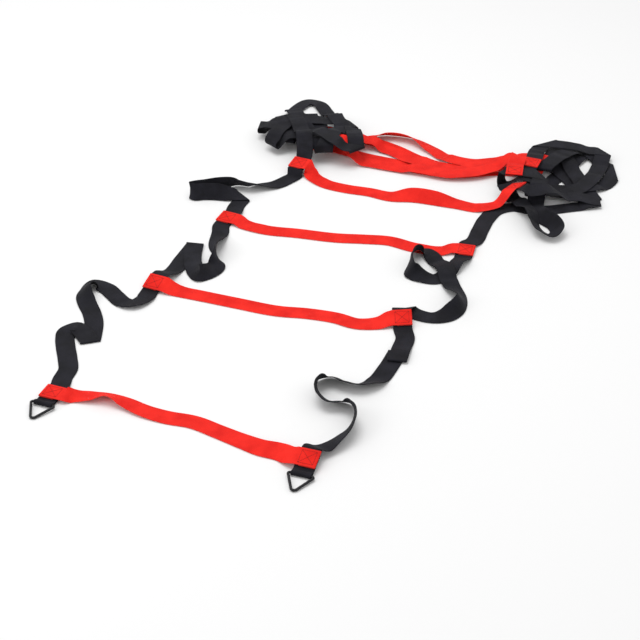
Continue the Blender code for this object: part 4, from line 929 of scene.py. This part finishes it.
# The black edge colour is painted shade along the webbing's edges.
BLACK_SELVEDGE_SHADE = (0.0020, 0.0020, 0.0030)
RED_YARN = (0.94, 0.030, 0.020)
RED_GROOVE_SHADE_AND_PATCH = (0.70, 0.014, 0.010)
RED_SELVEDGE = (0.97, 0.11, 0.08)
black_webbing = woven("black_webbing_weave", BLACK_THREAD, BLACK_GROOVE_SHADE_AND_PATCH, BLACK_SELVEDGE_SHADE, 0.03, 0.16)
red_webbing = woven("red_webbing_weave", RED_YARN, RED_GROOVE_SHADE_AND_PATCH, RED_SELVEDGE, 0.0, 0.10)

for ribbon in ribbons:
    mesh, length = web_mesh(ribbon)
    web = bpy.data.objects.new(ribbon.name + "_webbing", mesh)
    bpy.context.scene.collection.objects.link(web)
    is_rail = ribbon.name.startswith("rail")
    mesh.materials.append(black_webbing if is_rail else red_webbing)
    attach(web, "ladder")
    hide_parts(ribbon.name)

# Rings.
# A triangle of 4 mm steel wire, bent at three corners, welded in the middle of its straight bar and painted
# black. The bar lies in the rail's folded end, and the ring swings on it.
WIRE_SIDES = 20
BEND_STEPS = 10
WELD_JOIN = 0.00005
PEEL_SCALE, PEEL_HEIGHT = 900, 0.0001
RUBBED_SCALE = 130
FRESH_PAINT, RUBBED_PAINT = (0.007, 0.007, 0.009), (0.022, 0.022, 0.025)


def open_edit(made):
    """Edit one object on its own, with all of it selected."""
    bpy.ops.object.select_all(action="DESELECT")
    made.select_set(True)
    bpy.context.view_layer.objects.active = made
    bpy.ops.object.mode_set(mode="EDIT")
    bpy.ops.mesh.select_all(action="SELECT")


def draw_wire(length, heading):
    """Carry the wire's open end straight on."""
    step = (length * math.cos(heading), length * math.sin(heading), 0.0)
    bpy.ops.mesh.extrude_region_move(TRANSFORM_OT_translate={"value": step})


def bend_wire(place, heading, radius, turn):
    """Bend the wire to the right round a peg; returns where it now ends and where it heads."""
    peg = (place[0] + radius * math.sin(heading), place[1] - radius * math.cos(heading), 0.0)
    bpy.ops.mesh.spin(steps=BEND_STEPS, angle=turn, center=peg, axis=(0, 0, 1))
    heading -= turn
    return (peg[0] - radius * math.sin(heading), peg[1] + radius * math.cos(heading)), heading


def ring_piece(name, joint, lift):
    """Bend the wire flat with its bar through the origin, then hang it from the rail."""
    half_bar, depth = ring_corners()
    base_half_angle = math.atan2(depth, half_bar) / 2
    apex_half_angle = math.atan2(half_bar, depth)
    base_reach = RING_CORNER / math.tan(base_half_angle)
    side = math.hypot(half_bar, depth) - base_reach - RING_APEX_CORNER / math.tan(apex_half_angle)
    straight_bar = half_bar - base_reach
    bpy.ops.object.select_all(action="DESELECT")
    bpy.ops.mesh.primitive_circle_add(vertices=WIRE_SIDES, radius=RING_WIRE / 2, rotation=(0, math.pi / 2, 0))
    made = bpy.context.active_object
    made.name = name
    open_edit(made)
    corners = [(RING_CORNER, base_half_angle, side), (RING_APEX_CORNER, apex_half_angle, side),
               (RING_CORNER, base_half_angle, straight_bar)]
    place, heading = (straight_bar, 0.0), 0.0
    draw_wire(straight_bar, heading)
    for radius, half_angle, run in corners:
        place, heading = bend_wire(place, heading, radius, math.pi - 2 * half_angle)
        draw_wire(run, heading)
        place = (place[0] + run * math.cos(heading), place[1] + run * math.sin(heading))
    bpy.ops.mesh.select_all(action="SELECT")
    bpy.ops.mesh.remove_doubles(threshold=WELD_JOIN)
    bpy.ops.mesh.normals_make_consistent(inside=False)
    bpy.ops.object.mode_set(mode="OBJECT")
    bpy.ops.object.transform_apply(location=True, rotation=True, scale=True)
    bar, across, reach = ring_frame(joint, lift)
    turn = Matrix((across, -reach, np.cross(across, -reach))).transposed().to_4x4()
    made.data.transform(Matrix.Translation(Vector(bar - shift)) @ turn)
    made.data.shade_smooth()
    return made


def painted_wire():
    """Black paint with a fine orange peel, rubbed thinner here and there."""
    made, shader, tree = started("black_paint_on_wire", 0.25)
    shader.inputs["Coat Weight"].default_value = 0.05
    shader.inputs["Coat Roughness"].default_value = 0.3
    peel = texture(tree, "ShaderNodeTexNoise", PEEL_SCALE, Detail=3).outputs["Fac"]
    embossed(tree, shader, peel, 0.15, PEEL_HEIGHT)
    rubbed = texture(tree, "ShaderNodeTexNoise", RUBBED_SCALE, Detail=5).outputs["Fac"]
    tree.links.new(stretched(tree, rubbed, 0.35, 0.65, 0.34, 0.55), shader.inputs["Roughness"])
    paint = tinted(tree, rubbed, 0.45, FRESH_PAINT, 0.75, RUBBED_PAINT)
    tree.links.new(paint, shader.inputs["Base Color"])
    return made


wire_paint = painted_wire()
for side, joints in (("left", left), ("right", right)):
    ring = ring_piece("ring_" + side + "_wire", joints[0], levels[joints[0].group])
    ring.data.materials.append(wire_paint)
    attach(ring, "ring_" + side)
    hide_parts("ring_" + side)

# Stitching.
# Each rung's end is sewn down through all its layers with thick red polyester thread, in a box with a cross:
# lock stitches that sink a little into the webbing. The pattern is made once and laid on every sewn place.
STITCH_PITCH = 0.0026
STITCH_LENGTH = 0.0022
STITCH_WIDTH = 0.0009
STITCH_HEIGHT = 0.0007
STITCH_SINK = 0.45          # share of its height that a stitch lies in the webbing
STITCH_SIDES, STITCH_RINGS = 10, 6
PLY_SCALE, PLY_HEIGHT = 700, 0.0001
# The colour between the plies is painted shade.
PLY_COLOUR, PLY_GAP_SHADE = (0.42, 0.014, 0.010), (0.22, 0.006, 0.005)


def add_stitch(spot, turn, length):
    """One rounded stitch, lying along its turn."""
    bpy.ops.mesh.primitive_uv_sphere_add(segments=STITCH_SIDES, ring_count=STITCH_RINGS, radius=0.5,
                                         location=spot, rotation=(0, 0, turn),
                                         scale=(length, STITCH_WIDTH, STITCH_HEIGHT))


def sew_run(start, end):
    """A straight run of stitches between two points of the pattern."""
    length = math.hypot(end[0] - start[0], end[1] - start[1])
    turn = math.atan2(end[1] - start[1], end[0] - start[0])
    count = round(length / STITCH_PITCH)
    for k in range(count):
        u = (k + 0.5) / count
        spot = (start[0] + (end[0] - start[0]) * u, start[1] + (end[1] - start[1]) * u, 0.0)
        add_stitch(spot, turn, STITCH_LENGTH)


def sewn_pattern():
    """The box and the cross, flat round the origin."""
    half = HALF - STITCH_MARGIN - THREAD_WIDTH / 2
    corners = [(-half, -half), (half, -half), (half, half), (-half, half)]
    bpy.ops.object.select_all(action="DESELECT")
    add_stitch((*corners[0], 0.0), 0.0, STITCH_WIDTH)
    made = bpy.context.active_object
    bpy.ops.object.transform_apply(location=True, rotation=True, scale=True)
    open_edit(made)
    for a in range(4):
        sew_run(corners[a], corners[(a + 1) % 4])
    sew_run(corners[0], corners[2])
    sew_run(corners[1], corners[3])
    bpy.ops.object.mode_set(mode="OBJECT")
    made.data.shade_smooth()
    return made


def sewing_thread():
    """Twisted thread: fine slanting plies, with painted shade where they meet."""
    made, shader, tree = started("red_sewing_thread", 0.2)
    shader.inputs["Roughness"].default_value = 0.6
    plies = texture(tree, "ShaderNodeTexWave", PLY_SCALE, Distortion=1.5)
    plies.bands_direction = "DIAGONAL"
    embossed(tree, shader, plies.outputs["Fac"], 0.4, PLY_HEIGHT)
    thread = tinted(tree, plies.outputs["Fac"], 0.0, PLY_GAP_SHADE, 1.0, PLY_COLOUR)
    tree.links.new(thread, shader.inputs["Base Color"])
    return made


red_thread = sewing_thread()
pattern = sewn_pattern()
pattern.data.materials.append(red_thread)
for side, joints in (("left", left), ("right", right)):
    for k, joint in enumerate(joints):
        name = "stitch_" + str(k + 1) + "_" + side
        face = WEB_THICKNESS / 2 + STITCH_HEIGHT * (0.5 - STITCH_SINK)
        centre = joint.at(0, 0, RUNG_LAYER) + joint.up * face
        centre = centre + np.array([0.0, 0.0, levels[joint.group]]) - shift
        turn = Matrix((joint.rung, joint.rail, joint.up)).transposed().to_4x4()
        sewn = bpy.data.objects.new(name + "_thread", pattern.data.copy())
        bpy.context.scene.collection.objects.link(sewn)
        sewn.data.transform(Matrix.Translation(Vector(centre)) @ turn)
        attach(sewn, "ladder")
        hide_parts(name)
bpy.data.objects.remove(pattern)

# Floor and light.
# A plain white floor with a large soft light overhead and a weaker one from the viewer's left.
FLOOR_SIZE = 30
FLOOR_DROP = 0.0005         # the floor stays this much below the webbing
bpy.ops.object.select_all(action="DESELECT")
bpy.ops.mesh.primitive_plane_add(size=FLOOR_SIZE, location=(0, 0, -FLOOR_DROP))
floor = bpy.context.active_object
floor.name = "floor"
white = bpy.data.materials.new("white_floor")
white.use_nodes = True
nodes, links = white.node_tree.nodes, white.node_tree.links
shader = nodes["Principled BSDF"]
shader.inputs["Base Color"].default_value = (0.86, 0.86, 0.86, 1)
shader.inputs["Roughness"].default_value = 0.9
floor.data.materials.append(white)

world = bpy.data.worlds.new("studio")
bpy.context.scene.world = world
world.use_nodes = True
nodes, links = world.node_tree.nodes, world.node_tree.links
nodes["Background"].inputs["Color"].default_value = (1, 1, 1, 1)
nodes["Background"].inputs["Strength"].default_value = 0.75


def soft_lamp(name, place, size, power):
    """A round lamp that faces the middle of the floor."""
    data = bpy.data.lights.new(name, "AREA")
    data.shape = "DISK"
    data.size = size
    data.energy = power
    lamp = bpy.data.objects.new(name, data)
    bpy.context.scene.collection.objects.link(lamp)
    lamp.location = place
    lamp.rotation_euler = (-Vector(place)).to_track_quat("-Z", "Y").to_euler()


soft_lamp("overhead", (-0.6, 0.3, 3.0), 2.2, 42)
soft_lamp("left_of_viewer", (-2.2, -1.8, 1.8), 1.4, 12)
bpy.context.scene.view_settings.view_transform = "Standard"
